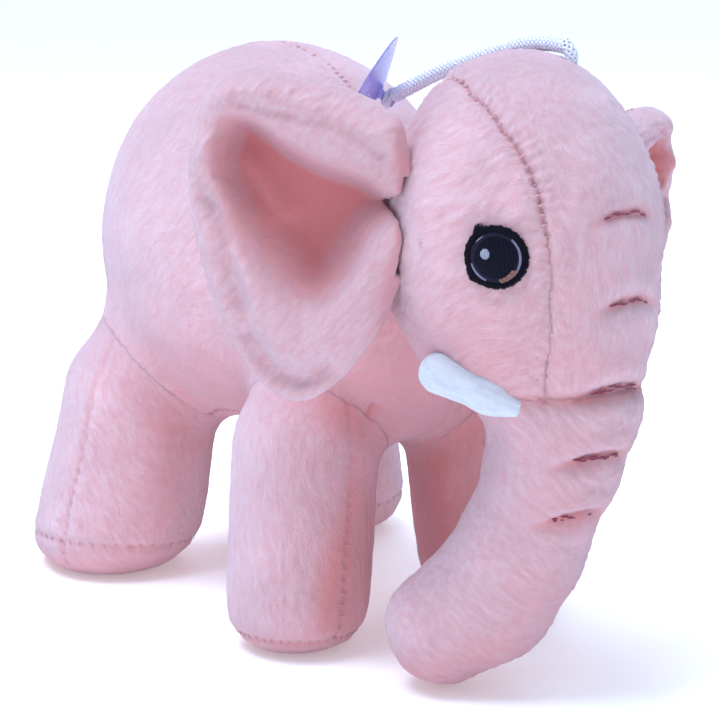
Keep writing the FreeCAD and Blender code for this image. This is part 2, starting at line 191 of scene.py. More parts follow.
def head_field(p):
    skull = ellipsoid(p, HEAD_AT, HEAD_HALF, HEAD_TURNED)
    return soft_min(skull, chain(p, FACE + TRUNK[:1], FACE_FLOW), SKULL_FLOW)


def trunk_field(p):
    return chain(p, TRUNK, TRUNK_FLOW)


def body_field(p):
    found = torso_field(p)
    for name in LEGS:
        found = soft_min(found, leg_field(p, name), LEG_FLOW[name.split("_")[0]])
    face = soft_min(head_field(p), trunk_field(p), NECK_FLOW)
    return soft_min(found, face, NECK_FLOW)


# ---- from a field to a mesh --------------------------------------------------------------------------
PART = 200000


def grid_points(low, high, cell):
    axes = [np.arange(low[k], high[k] + cell, cell) for k in range(3)]
    return np.stack(np.meshgrid(*axes, indexing="ij"), -1)


def in_parts(field, points):
    """A field over many points, a part at a time to save memory."""
    flat = points.reshape(-1, 3)
    found = [field(flat[i:i + PART]) for i in range(0, len(flat), PART)]
    return np.concatenate(found).reshape(points.shape[:-1])


def surface_nets(value, low, cell):
    """One vertex in every cell that the surface crosses, joined into quads that face outwards."""
    inside = value < 0
    shape = np.array(value.shape)
    corners = [(i, j, k) for i in (0, 1) for j in (0, 1) for k in (0, 1)]
    count = np.zeros(shape - 1, np.int8)
    for i, j, k in corners:
        count += inside[i:shape[0] - 1 + i, j:shape[1] - 1 + j, k:shape[2] - 1 + k]
    active = (count > 0) & (count < 8)
    index = np.full(shape - 1, -1, np.int64)
    index[active] = np.arange(active.sum())
    cells = np.argwhere(active)
    total = np.zeros((len(cells), 3))
    hits = np.zeros(len(cells))
    for axis in range(3):
        step = np.eye(3, dtype=int)[axis]
        for corner in corners:
            if corner[axis]:
                continue
            a = cells + corner
            b = a + step
            va = value[tuple(a.T)]
            vb = value[tuple(b.T)]
            crossing = (va < 0) != (vb < 0)
            t = np.where(crossing, va / np.where(crossing, va - vb, 1), 0)
            total += np.where(crossing[:, None], corner + t[:, None] * step, 0)
            hits += crossing
    points = low + (cells + total / hits[:, None]) * cell
    quads = []
    for axis, across, up in ((0, 1, 2), (1, 2, 0), (2, 0, 1)):
        low_side = [slice(None)] * 3
        high_side = [slice(None)] * 3
        low_side[axis] = slice(0, -1)
        high_side[axis] = slice(1, None)
        first = inside[tuple(low_side)]
        change = first != inside[tuple(high_side)]
        nodes = np.argwhere(change)
        keep = (nodes[:, across] > 0) & (nodes[:, up] > 0)
        keep &= (nodes[:, across] < shape[across] - 1) & (nodes[:, up] < shape[up] - 1)
        nodes = nodes[keep]
        u = np.eye(3, dtype=int)[across]
        v = np.eye(3, dtype=int)[up]
        ring = [nodes - u - v, nodes - v, nodes, nodes - u]
        quad = np.stack([index[tuple(c.T)] for c in ring], -1)
        outward = first[tuple(nodes.T)]
        quads.append(np.where(outward[:, None], quad, quad[:, ::-1]))
    return points, np.concatenate(quads)


def split_quads(points, quads):
    """Every quad becomes four."""
    edges = np.stack([quads, np.roll(quads, -1, 1)], -1).reshape(-1, 2)
    edges.sort(axis=1)
    keys, where = np.unique(edges[:, 0] * len(points) + edges[:, 1], return_inverse=True)
    a, b = keys // len(points), keys % len(points)
    middles = (points[a] + points[b]) / 2
    centres = points[quads].mean(1)
    where = where.reshape(-1, 4) + len(points)
    centre = np.arange(len(quads)) + len(points) + len(keys)
    parts = []
    for k in range(4):
        parts.append(np.stack([quads[:, k], where[:, k], centre, where[:, k - 1]], -1))
    return np.concatenate([points, middles, centres]), np.concatenate(parts)


def gradient(field, p, step=0.25):
    found = []
    for k in range(3):
        shift = np.zeros(3)
        shift[k] = step
        found.append(field(p + shift) - field(p - shift))
    return np.stack(found, -1) / (2 * step)


LONGEST_PULL = 0.8


def pull_to_surface(field, p, rounds):
    for _ in range(rounds):
        g = gradient(field, p)
        step = g * (field(p) / np.maximum((g ** 2).sum(-1), 0.05))[:, None]
        size = np.linalg.norm(step, axis=-1)
        p = p - step * np.minimum(1, LONGEST_PULL / np.maximum(size, 1e-9))[:, None]
    return p


def normals_of(field, p):
    return unit_rows(gradient(field, p, 0.4))


# ---- repeatable noise --------------------------------------------------------------------------------
def scrambled(i, j, k, seed):
    h = (i * 374761393 + j * 668265263 + k * 2147483647 + seed * 974634777) & 0xFFFFFFFF
    h = ((h ^ (h >> 13)) * 1274126177) & 0xFFFFFFFF
    return ((h ^ (h >> 16)) & 0xFFFF) / 32767.5 - 1


def noise(p, seed):
    """Smooth noise between -1 and 1, with features about 1 unit across."""
    base = np.floor(p).astype(np.int64)
    f = p - base
    f = f * f * (3 - 2 * f)
    total = 0
    for i in (0, 1):
        for j in (0, 1):
            for k in (0, 1):
                weight = (f[:, 0] if i else 1 - f[:, 0])
                weight = weight * (f[:, 1] if j else 1 - f[:, 1])
                weight = weight * (f[:, 2] if k else 1 - f[:, 2])
                total = total + weight * scrambled(base[:, 0] + i, base[:, 1] + j, base[:, 2] + k, seed)
    return total


def nap_frame(way):
    """Three directions at right angles, the first along the nap."""
    first = np.array(way, float)
    first /= np.linalg.norm(first)
    other = np.cross(first, [0.31, 0.17, 0.93])
    other /= np.linalg.norm(other)
    return np.stack([first, other, np.cross(first, other)], -1)


def pile_height(p, way, length=6.5, width=1.5):
    """Clumps of pile: streaks along the nap, with finer ones on them."""
    q = p @ nap_frame(way)
    q = q + noise(p / 9.0, 3)[:, None] * np.array([0.0, 2.4, 1.0])
    q = q + noise(p / 17.0, 4)[:, None] * np.array([0.0, 0.8, 4.0])
    coarse = noise(q / np.array([length, width, width]), 1)
    fine = noise(q / np.array([length * 0.5, width * 0.55, width * 0.55]), 2)
    return 0.65 * coarse + 0.35 * fine


# ---- seams, creases and the lie of the pile ----------------------------------------------------------
# the forehead panel's half width at bearings round the head from below the chin, over the face, to the nape
GUSSET_WIDTH = [
    (-75, 13.5), (-51, 16.8), (-20, 20.2), (11, 21.9), (39, 22.6), (61, 23.5), (85, 21.9), (100, 17.3),
    (113, 12.7), (130, 9.0), (160, 7.0),
]
LEG_GIRTH_R = 24.0           # turns a bearing round a leg into a distance
SOLE_SEAM = {"front": (4.5, 2.0, 30.0), "rear": (8.0, 6.0, 60.0)}   # height, rise, bearing of the rise
LEG_SEAM_AT = {"front": -5.0, "rear": 68.0}                # bearing of the seam up each leg
CREASES = [
    (np.array([-1.0, -124.0, 141.0]), 1.5, 9.0),
    (np.array([1.5, -124.0, 117.5]), 1.6, 9.0),
    (np.array([0.5, -121.5, 93.5]), 2.2, 10.5),
    (np.array([-2.0, -116.0, 74.0]), 2.3, 9.5),
    (np.array([-4.0, -108.5, 56.5]), 2.2, 8.5),
]
CREASE_ROWS = (1, 1, 2, 2, 2)        # threads side by side in each crease
CREASE_BEND = 0.018                  # how the creases curve down at their ends
CREASE_SIDE = HEAD_TURNED @ np.array([1.0, 0.0, 0.0])
EYE_AT = np.array([-33.1, -110.6, 129.9])


def in_head(p):
    return (p - HEAD_AT) @ HEAD_TURNED


def gusset_field(p):
    """Below zero on the gusset and above zero on the head's sides."""
    bearings, widths = zip(*GUSSET_WIDTH)
    q = in_head(p)
    bearing = np.degrees(np.arctan2(q[..., 2], -q[..., 1]))
    return np.abs(q[..., 0]) - np.interp(bearing, bearings, widths)


def head_arc(p):
    """How far along the forehead panel's seam a place is."""
    q = in_head(p)
    return np.arctan2(q[:, 2], -q[:, 1]) * 45.0


def sole_field(p, name):
    height, rise, bearing = SOLE_SEAM[name.split("_")[0]]
    turn = np.radians(leg_angle(p, name) - bearing)
    return p[..., 2] - height - rise * (0.5 + 0.5 * np.cos(turn))


def leg_seam_field(p, name):
    bearing = LEG_SEAM_AT[name.split("_")[0]]
    turn = (leg_angle(p, name) - bearing + 180) % 360 - 180
    return np.radians(turn) * LEG_GIRTH_R


def belly_field(p):
    return np.abs(p[..., 0]) - 25.0 + 0.25 * np.clip(p[..., 2] - 60.0, 0, None)


def seam_distance(field, p, normal):
    """How far each point is from the line where the field is zero, along the surface."""
    g = gradient(field, p, 0.3)
    g = g - (g * normal).sum(-1)[:, None] * normal
    size = np.maximum(np.linalg.norm(g, axis=-1), 0.25)
    return field(p) / size, g / size[:, None]


SEAM_WIDTH = 1.6
PUCKER = 3.6            # distance between the puckers along a seam
HIP_DEPTH = {"front": 0.0, "rear": 0.2}    # how far the seam round the top of a leg is pulled in


def seam_press(distance, along, depth, width):
    """A pulled-in line with puckers across it and a little fullness on each side."""
    turn = 2 * math.pi * along / PUCKER + 1.3 * np.sin(along / 3.1)
    pull = 0.75 + 0.25 * np.sin(turn)
    groove = -depth * pull * np.exp(-(distance / width) ** 2)
    reach = np.exp(-((np.abs(distance) - 3.2) / 2.4) ** 2)
    ripple = 0.17 * depth * reach * np.sin(turn + 1.2 * np.sign(distance))
    return groove + 0.25 * depth * reach + ripple


NAP = {
    "torso": (-0.1, 0.75, -0.66),
    "side": (-0.25, 0.80, -0.55),
    "gusset": (0.15, 0.1, -1.0),
    "trunk": (0.62, -0.40, -0.62),
    "front": (0.12, 0.0, -1.0),
    "rear": (0.45, -0.30, -0.85),
    "ear": (-0.55, 0.35, -0.75),
}
PILE_DRIFT = 3.0              # how far the lie of the pile wanders sideways
PILE_DEPTH = {"torso": 0.30, "side": 0.58, "gusset": 0.40, "trunk": 0.52, "front": 0.28, "rear": 0.30}


def spline(points, count):
    """A smooth run through given points."""
    p = np.asarray(points, float)
    p = np.vstack([2 * p[0] - p[1], p, 2 * p[-1] - p[-2]])
    t = np.linspace(0, len(p) - 3 - 1e-6, count)
    i = t.astype(int)
    f = (t - i)[:, None]
    a, b, c, d = p[i], p[i + 1], p[i + 2], p[i + 3]
    curve = 2 * b + (c - a) * f + (2 * a - 5 * b + 4 * c - d) * f ** 2
    return 0.5 * (curve + (3 * b - a - 3 * c + d) * f ** 3)


# ---- ears --------------------------------------------------------------------------------------------
# Places on an ear are (outwards from the head, upwards, forwards out of its cup).
EAR_EDGE = [
    (0.5, 33), (8, 38.5), (19, 42.5), (29, 45), (38.5, 46.3), (47.5, 45), (54, 40.5), (58.5, 33),
    (60.5, 23), (60.5, 13), (59.5, 3), (57.5, -8), (54, -19), (49, -30), (43, -39.5), (36, -45.5),
    (28, -47), (19.5, -42.5), (10.5, -33), (4, -23), (0, -13), (-4, -4), (-6, 6), (-5, 14), (-2.5, 23),
]
EAR_HOLLOW = [
    (50, 29.5), (47, 33.5), (41, 32.5), (33, 27), (22.5, 21.5), (11.5, 18), (4.5, 13.5), (-1.5, 10),
    (7, 4), (11.5, -4), (17, -12), (23.5, -16), (30.5, -14), (38, -7), (44.5, 1), (49, 10), (52.5, 21),
]
EAR_ROLL = [(2, 28), (14, 29), (26, 33.5), (38, 38.5), (46, 38.5)]
EAR_FOLD = [(43, 36.5), (33, 34.5), (16, 30), (5, 24)]
EAR_RIDGE = [(52, 24), (43, 17), (36, 6)]
EAR_LIP = [(49, 1), (43.5, -8), (38.5, -18), (33, -27), (25, -29), (17, -21), (9, -9), (2, 0)]
EAR_GROOVE = [(54, 10), (49.5, 3), (47, -8), (44.5, -18)]
EAR_LOW_GROOVE = [(43, -27), (37, -35.5), (29, -39), (22, -35)]
# what rises from or sinks into the front: (line, points on it, height, width)
EAR_SWELLS = [
    (EAR_ROLL, 40, 4.2, 7.5),
    (EAR_FOLD, 40, -1.6, 1.9),
    (EAR_RIDGE, 30, 3.0, 4.5),
    (EAR_LIP, 50, 3.0, 6.0),
    (EAR_GROOVE, 30, -3.0, 3.0),
    (EAR_LOW_GROOVE, 30, -2.6, 3.2),
]
EAR_HOLLOW_DEPTH = 13.0
EARS = {
    "right": (np.array([-34.0, 10.0, 0.0]), 45.0, -1, 1.0),
    "left": (np.array([34.0, 10.0, -7.5]), 22.0, 1, 0.81),
}
EAR_STEP = 0.5
OUTLINE_STEPS = 260


def closed_line(points, count):
    p = np.asarray(points, float)
    p = np.vstack([p[-2:], p, p[:2]])
    full = spline(p, count)
    t = np.linspace(0, 1, count)
    whole = len(p) - 1
    return full[(t * whole >= 2 - 1e-9) & (t * whole <= whole - 1)]


def line_distance(p, line):
    """Distance from points to an open line, both flat."""
    found = np.full(len(p), 1e9)
    for a, b in zip(line, line[1:]):
        run = b - a
        t = np.clip((p - a) @ run / max(run @ run, 1e-9), 0, 1)
        found = np.minimum(found, np.linalg.norm(p - a - t[:, None] * run, axis=-1))
    return found


def loop_distance(p, loop):
    """Distance from points to a closed line, below zero inside it."""
    inside = np.zeros(len(p), bool)
    closed = np.vstack([loop, loop[:1]])
    for a, b in zip(closed, closed[1:]):
        spans = (a[1] > p[:, 1]) != (b[1] > p[:, 1])
        rise = b[1] - a[1] if abs(b[1] - a[1]) > 1e-12 else 1e-12
        inside ^= spans & (p[:, 0] < a[0] + (p[:, 1] - a[1]) * (b[0] - a[0]) / rise)
    distance = line_distance(p, closed)
    return np.where(inside, -distance, distance)


class Ear:
    """The ear's edge, its front and its back as heights over its own plane."""

    def __init__(self, tall):
        self.low = np.array([-12.0, -52.0])
        u = np.arange(self.low[0], 70.0, EAR_STEP)
        v = np.arange(self.low[1], 52.0, EAR_STEP)
        self.shape = (len(u), len(v))
        flat = np.stack(np.meshgrid(u, v, indexing="ij"), -1).reshape(-1, 2)
        flat_rest = flat / np.array([1.0, tall])
        edge = loop_distance(flat_rest, closed_line(EAR_EDGE, OUTLINE_STEPS))
        hollow = -loop_distance(flat_rest, closed_line(EAR_HOLLOW, OUTLINE_STEPS))
        upper = smooth_step(flat_rest[:, 1], -2.0, 14.0)
        reach = 7.0 * upper + 12.0 * (1 - upper)
        lead = 1.5 * upper + 5.5 * (1 - upper)
        depth = EAR_HOLLOW_DEPTH * smooth_step(hollow, -lead, reach)
        front = 1.0 - depth
        for line, count, height, width in EAR_SWELLS:
            front = front + height * np.exp(-(line_distance(flat_rest, spline(line, count)) / width) ** 2)
        back = -7.0 - 10.5 * smooth_step(-edge, 2.0, 20.0)
        back = np.minimum(back, front - 4.5)
        # painted shade in the ear's hollow, grading more softly in its lower part
        colour = smooth_step(hollow, -3.0 - 3.0 * (1 - upper), 5.0 + 5.0 * (1 - upper))
        self.maps = [m.reshape(self.shape) for m in (edge, front, back, depth, colour)]

    def look_up(self, u, v, which):
        grid = self.maps[which]
        x = np.clip((u - self.low[0]) / EAR_STEP, 0, self.shape[0] - 1.001)
        y = np.clip((v - self.low[1]) / EAR_STEP, 0, self.shape[1] - 1.001)
        i, j = x.astype(int), y.astype(int)
        f, g = x - i, y - j
        low = grid[i, j] * (1 - f) + grid[i + 1, j] * f
        high = grid[i, j + 1] * (1 - f) + grid[i + 1, j + 1] * f
        return low * (1 - g) + high * g

    def field(self, q):
        """q is (out, up, forward) on the ear."""
        edge = self.look_up(q[..., 0], q[..., 1], 0)
        front = self.look_up(q[..., 0], q[..., 1], 1)
        back = self.look_up(q[..., 0], q[..., 1], 2)
        sheet = soft_max((q[..., 2] - front) * 0.8, (back - q[..., 2]) * 0.8, 2.0)
        return soft_max(sheet, edge, 7.0)


def ear_place(name):
    root, sweep, side, _ = EARS[name]
    at = HEAD_AT + HEAD_TURNED @ root
    turn = math.radians(sweep)
    along = np.array([side * math.cos(turn), math.sin(turn), 0.0])
    opening = np.array([side * math.sin(turn), -math.cos(turn), 0.0])
    return at, np.stack([along, np.array([0.0, 0.0, 1.0]), opening])


# ---- the body's skin ---------------------------------------------------------------------------------
BODY_LOW = np.array([-73.0, -132.0, -4.0])
BODY_HIGH = np.array([73.0, 128.0, 186.0])
BODY_CELL = 1.7
HEAD_BLEND = (-42.0, -66.0)          # two places on Y along the neck, between the head and the torso
TRUNK_BLEND = (-5.0, 9.0)            # distances from the trunk's pivot along the trunk
TIP_BLEND = (19.0, 39.0)
TRUNK_TOP = 89.0                     # height of the fold where the trunk starts
REACHES = (9.0, 22.0, 40.0)          # how far out the room in front of the cloth is tried, for the painted shade
UNDER_SHADE = 0.42                   # painted shade, a redder pink, on cloth where it faces down
CLOSE_SHADE = 0.5                    # and painted shade where other cloth is close in front of it
LEG_BEND = 22.0                      # a length of leg below where it meets the torso


def trunk_run(p):
    return (p - TRUNK[0][0]) @ TRUNK_AXIS


def trunk_top_field(p):
    """Above zero on the head: a fold that rises from the tusks to the third crease."""
    return p[..., 2] - TRUNK_TOP + 0.11 * (p[..., 1] + 100.0)


def shut_in(field, p, normal):
    """How much painted shade a place gets: 0 where it is open and 1 where other cloth is close in front of
    it.
    """
    open_room = 0
    for reach in REACHES:
        open_room = open_room + np.clip(field(p + normal * reach) / reach, 0, 1) / len(REACHES)
    return 1 - smooth_step(open_room, 0.42, 0.98)


def crease_press(p):
    total = np.zeros(len(p))
    painted_shade = np.zeros(len(p))
    for at, depth, half in CREASES:
        q = p - at
        side = np.abs(q @ CREASE_SIDE)
        bend = CREASE_BEND * side ** 2
        fade = np.exp(-(side / (half * 1.15)) ** 4)
        near = np.exp(-(q[:, 1] / 16.0) ** 4)
        total += fade * near * (-depth * np.exp(-((q[:, 2] + bend) / 1.9) ** 2))
        total += fade * near * 0.35 * depth * np.exp(-((np.abs(q[:, 2] + bend) - 5.5) / 3.2) ** 2)
        # painted shade along the bottom of the crease
        painted_shade += fade * near * 0.7 * np.exp(-((q[:, 2] + bend) / 1.2) ** 2)
    return total, painted_shade


class BodySkin:
    """The skin's points, how far each is pressed in, its painted shade and the lie of its pile."""

    def __init__(self):
        grid = grid_points(BODY_LOW, BODY_HIGH, BODY_CELL)
        points, quads = surface_nets(in_parts(body_field, grid), BODY_LOW, BODY_CELL)
        points = pull_to_surface(body_field, points, 2)
        points, self.quads = split_quads(points, quads)
        self.points = pull_to_surface(body_field, points, 1)
        self.normal = normals_of(body_field, self.points)
        self.fields = {"torso": torso_field(self.points)}
        for name in LEGS:
            self.fields[name] = leg_field(self.points, name)
        self.fields["head"] = np.minimum(head_field(self.points), trunk_field(self.points))
        names = list(self.fields)
        group = np.argmin(np.stack([self.fields[n] for n in names], -1), -1)
        self.of_group = {name: group == i for i, name in enumerate(names)}
        self.press = np.zeros(len(self.points))
        self.painted_shade = np.zeros(len(self.points))
        self.seams = {}

    def add_seam(self, key, field, along, mask, depth, width, shade):
        where = np.nonzero(mask)[0]
        points = self.points[where]
        distance, across = seam_distance(field, points, self.normal[where])
        run = along(points)
        depth = np.broadcast_to(depth, len(mask))[where]
        shade = np.broadcast_to(shade, len(mask))[where]
        self.press[where] += seam_press(distance, run, depth, width)
        # painted shade along the seam's groove, broken into dashes along it
        dash = 0.75 + 0.25 * np.sin(2 * math.pi * run / PUCKER + 2.0 * noise(points / 6.0, 31))
        self.painted_shade[where] += shade * dash * np.exp(-(distance / 0.8) ** 2)
        self.seams[key] = (where, distance, across, run)

    def add_head_seams(self):
        """The forehead panel's two seams, deeper over the crown and with more painted shade there."""
        points = self.points
        upper = smooth_step(points[:, 2], 112.0, 150.0)
        mask = self.of_group["head"] & (trunk_top_field(points) > -1.0) & (points[:, 1] < -48)
        outwards = gradient(lambda p: np.abs(in_head(p)[..., 0]), points, 0.3)[:, 0]
        for side, key in ((-1, "gusset_right"), (1, "gusset_left")):
            mine = mask & (in_head(points)[:, 0] * side > 5) & (outwards * side > 0)
            self.add_seam(key, gusset_field, head_arc, mine, 0.8 + 0.7 * upper, 1.8, 0.12 + 0.25 * upper)

    def add_torso_seams(self):
        points = self.points
        torso = self.of_group["torso"]
        back = torso & (points[:, 2] > 80) & (points[:, 1] > -30)
        self.add_seam("back", lambda p: p[:, 0], lambda p: p[:, 1] + p[:, 2], back, 0.8, SEAM_WIDTH, 0.15)
        belly = torso & (points[:, 2] < 76)
        self.add_seam("belly", belly_field, lambda p: p[:, 1], belly, 0.9, SEAM_WIDTH, 0.5)

    def add_leg_seams(self, name):
        """The sole's seam, the seam up the leg, and the pull where the leg meets the torso."""
        points = self.points
        leg = self.of_group[name]
        kind = name.split("_")[0]
        sole = lambda p: sole_field(p, name)
        round_leg = lambda p: np.radians(leg_angle(p, name)) * LEG_GIRTH_R
        self.add_seam("sole_" + name, sole, round_leg, leg & (points[:, 2] < 28), 0.6, 1.2, 0.2)
        up_leg = lambda p: leg_seam_field(p, name)
        front = leg & (points[:, 2] > 5) & (np.abs(up_leg(points)) < 30)
        self.add_seam("up_" + name, up_leg, lambda p: p[:, 2], front, 0.5, 1.1, 0.2)
        edge = np.abs(self.fields[name] - self.fields["torso"])
        close = np.minimum(self.fields[name], self.fields["torso"]) < LEG_FLOW[kind] / 3
        self.press -= HIP_DEPTH[kind] * close * np.exp(-(edge / 2.0) ** 2)

    def add_folds(self):
        """The neck's line, the fold at the top of the trunk and the thread creases."""
        head = self.of_group["head"]
        neck = np.abs(self.fields["head"] - self.fields["torso"])
        close = np.minimum(self.fields["head"], self.fields["torso"]) < 3.0
        # painted shade along the neck's line
        self.painted_shade += 0.5 * close * np.exp(-(neck / 1.6) ** 2)
        fold = np.abs(trunk_top_field(self.points))
        deep = 1.2 * smooth_step(-self.points[:, 1], 70, 90)
        self.press -= head * deep * np.exp(-(fold / 2.4) ** 2)
        # painted shade in the fold at the top of the trunk
        self.painted_shade += head * 0.4 * np.exp(-(fold / 1.6) ** 2)
        # the creases' press, and their painted shade
        pressed, dark = crease_press(self.points)
        self.press += pressed * head
        self.painted_shade += dark * head

    def add_pile(self):
        """How high the pile stands, and places along and across its lie."""
        points = self.points
        head = self.of_group["head"]
        kind = np.full(len(points), "torso", dtype="<U8")
        for name in LEGS:
            kind[self.of_group[name]] = name.split("_")[0]
        kind[head] = "side"
        kind[head & (gusset_field(points) < 0)] = "gusset"
        kind[head & (trunk_top_field(points) < 0)] = "trunk"
        self.pile = np.zeros((len(points), 3))
        self.fur = np.zeros(len(points))
        for name, depth in PILE_DEPTH.items():
            where = np.nonzero(kind == name)[0]
            p = points[where]
            self.fur[where] = depth * pile_height(p, NAP[name])
            drift = np.stack([np.zeros(len(p)), noise(p / 11.0, 5), noise(p / 14.0, 6)], -1)
            self.pile[where] = p @ nap_frame(NAP[name]) + PILE_DRIFT * drift

    def clear_eyes(self):
        """The pile is short round the embroidery, and the cloth is pulled in under it."""
        eye = np.linalg.norm(self.points - EYE_AT, axis=-1)
        other_eye = mirrored(in_head(EYE_AT), -1)
        eye = np.minimum(eye, np.linalg.norm(in_head(self.points) - other_eye, axis=-1))
        self.press -= 1.0 * (1 - smooth_step(eye, 9.0, 15.0))
        self.fur *= smooth_step(eye, 8.0, 11.5)

    def settle(self):
        """Move the points by all of the above, with the stuffing's lumps, and keep them off the floor."""
        points = self.points
        lumps = 0.55 * noise(points / 23.0, 7) + 0.25 * noise(points / 10.0, 8)
        off_floor = smooth_step(points[:, 2], 0.2, 4.0)
        moved = points + self.normal * ((self.press + lumps + self.fur) * off_floor)[:, None]
        moved[:, 2] = np.maximum(moved[:, 2], 0.0)
        self.points = moved
        # Painted shade: more on cloth that faces down and where other cloth is close, combined with the
        # painted shade of seams and creases.
        under = UNDER_SHADE * smooth_step(-self.normal[:, 2], 0.0, 0.8)
        shade = np.maximum(CLOSE_SHADE * shut_in(body_field, moved, self.normal), under)
        self.painted_shade = np.clip(shade + self.painted_shade * (1 - shade), 0.0, 1.0)


def make_body():
    body = BodySkin()
    body.add_head_seams()
    body.add_torso_seams()
    for name in LEGS:
        body.add_leg_seams(name)
    body.add_folds()
    body.add_pile()
    body.clear_eyes()
    body.settle()
    return body


# ---- making pieces -----------------------------------------------------------------------------------
def vertex_normals(points, quads):
    a, b, c, d = (points[quads[:, k]] for k in range(4))
    face = np.cross(c - a, d - b)
    total = np.zeros_like(points)
    for k in range(4):
        for axis in range(3):
            total[:, axis] += np.bincount(quads[:, k], face[:, axis], len(points))
    return unit_rows(total)


def placed(name, data):
    piece = bpy.data.objects.new(name, data)
    bpy.context.scene.collection.objects.link(piece)
    return piece


def new_mesh(name, points, faces, material):
    mesh = bpy.data.meshes.new(name)
    faces = np.asarray(faces)
    count, sides = faces.shape
    mesh.vertices.add(len(points))
    mesh.vertices.foreach_set("co", (np.asarray(points) * MM).astype(np.float32).ravel())
    mesh.loops.add(count * sides)
    mesh.loops.foreach_set("vertex_index", faces.astype(np.int32).ravel())
    mesh.polygons.add(count)
    mesh.polygons.foreach_set("loop_start", np.arange(0, count * sides, sides, dtype=np.int32))
    mesh.polygons.foreach_set("use_smooth", np.ones(count, bool))
    mesh.update(calc_edges=True)
    mesh.materials.append(material)
    return placed(name, mesh)


def add_values(piece, name, values):
    values = np.asarray(values, np.float32)
    kind = "FLOAT" if values.ndim == 1 else "FLOAT_VECTOR"
    attribute = piece.data.attributes.new(name, kind, "POINT")
    attribute.data.foreach_set("value" if values.ndim == 1 else "vector", values.ravel())


def cut_out(name, points, faces, keep, normals, pile, painted_shade, material):
    """The kept faces of a larger skin, with the whole skin's shading at their edges."""
    used, inverse = np.unique(faces[keep], return_inverse=True)
    piece = new_mesh(name, points[used], inverse.reshape(-1, faces.shape[1]), material)
    add_values(piece, "pile", pile[used])
    # the painted shade of each point, which the plush material turns into redder colour
    add_values(piece, "painted_shade", painted_shade[used])
    piece.data.normals_split_custom_set_from_vertices(normals[used].astype(np.float32))
    return piece


# ---- materials ---------------------------------------------------------------------------------------
class Nodes:
    """A few short calls for building one material."""

    def __init__(self, name):
        self.material = bpy.data.materials.new(name)
        self.material.use_nodes = True
        self.tree = self.material.node_tree
        self.shader = self.tree.nodes["Principled BSDF"]

    def add(self, kind, **settings):
        node = self.tree.nodes.new(kind)
        for key, value in settings.items():
            setattr(node, key, value)
        return node

    def link(self, source, target):
        self.tree.links.new(source, target)

    def set(self, **values):
        for key, value in values.items():
            self.shader.inputs[key.replace("_", " ")].default_value = value

    def attribute(self, name):
        return self.add("ShaderNodeAttribute", attribute_name=name, attribute_type="GEOMETRY")

    def noise(self, vector, scale, detail=3.0, roughness=0.55):
        node = self.add("ShaderNodeTexNoise")
        node.inputs["Scale"].default_value = scale
        node.inputs["Detail"].default_value = detail
        node.inputs["Roughness"].default_value = roughness
        self.link(vector, node.inputs["Vector"])
        return node.outputs["Fac"]

    def stretch(self, vector, scale):
        node = self.add("ShaderNodeMapping")
        node.inputs["Scale"].default_value = scale
        self.link(vector, node.inputs["Vector"])
        return node.outputs["Vector"]

    def ramp(self, value, stops):
        node = self.add("ShaderNodeValToRGB")
        elements = node.color_ramp.elements
        for element, (place, colour) in zip(elements, stops[:2]):
            element.position = place
            element.color = (*colour, 1)
        for place, colour in stops[2:]:
            elements.new(place).color = (*colour, 1)
        self.link(value, node.inputs["Fac"])
        return node.outputs["Color"]

    def mix(self, factor, a, b):
        node = self.add("ShaderNodeMix", data_type="RGBA")
        for socket, value in ((node.inputs[0], factor), (node.inputs[6], a), (node.inputs[7], b)):
            if isinstance(value, bpy.types.NodeSocket):
                self.link(value, socket)
            elif isinstance(value, tuple):
                socket.default_value = (*value, 1)
            else:
                socket.default_value = value
        return node.outputs[2]

    def math(self, operation, a, b):
        node = self.add("ShaderNodeMath", operation=operation)
        for socket, value in zip(node.inputs, (a, b)):
            if isinstance(value, bpy.types.NodeSocket):
                self.link(value, socket)
            else:
                socket.default_value = value
        return node.outputs[0]

    def bump(self, height, strength, distance):
        node = self.add("ShaderNodeBump")
        node.inputs["Strength"].default_value = strength
        node.inputs["Distance"].default_value = distance
        self.link(height, node.inputs["Height"])
        self.link(node.outputs["Normal"], self.shader.inputs["Normal"])

    def paint(self, colour):
        self.link(colour, self.shader.inputs["Base Color"])


COOL_SHEEN = (0.78, 0.84, 1.0, 1)
NONE = (0, 0, 0)             # the ends of a ramp that only says how much
FULL = (1, 1, 1)


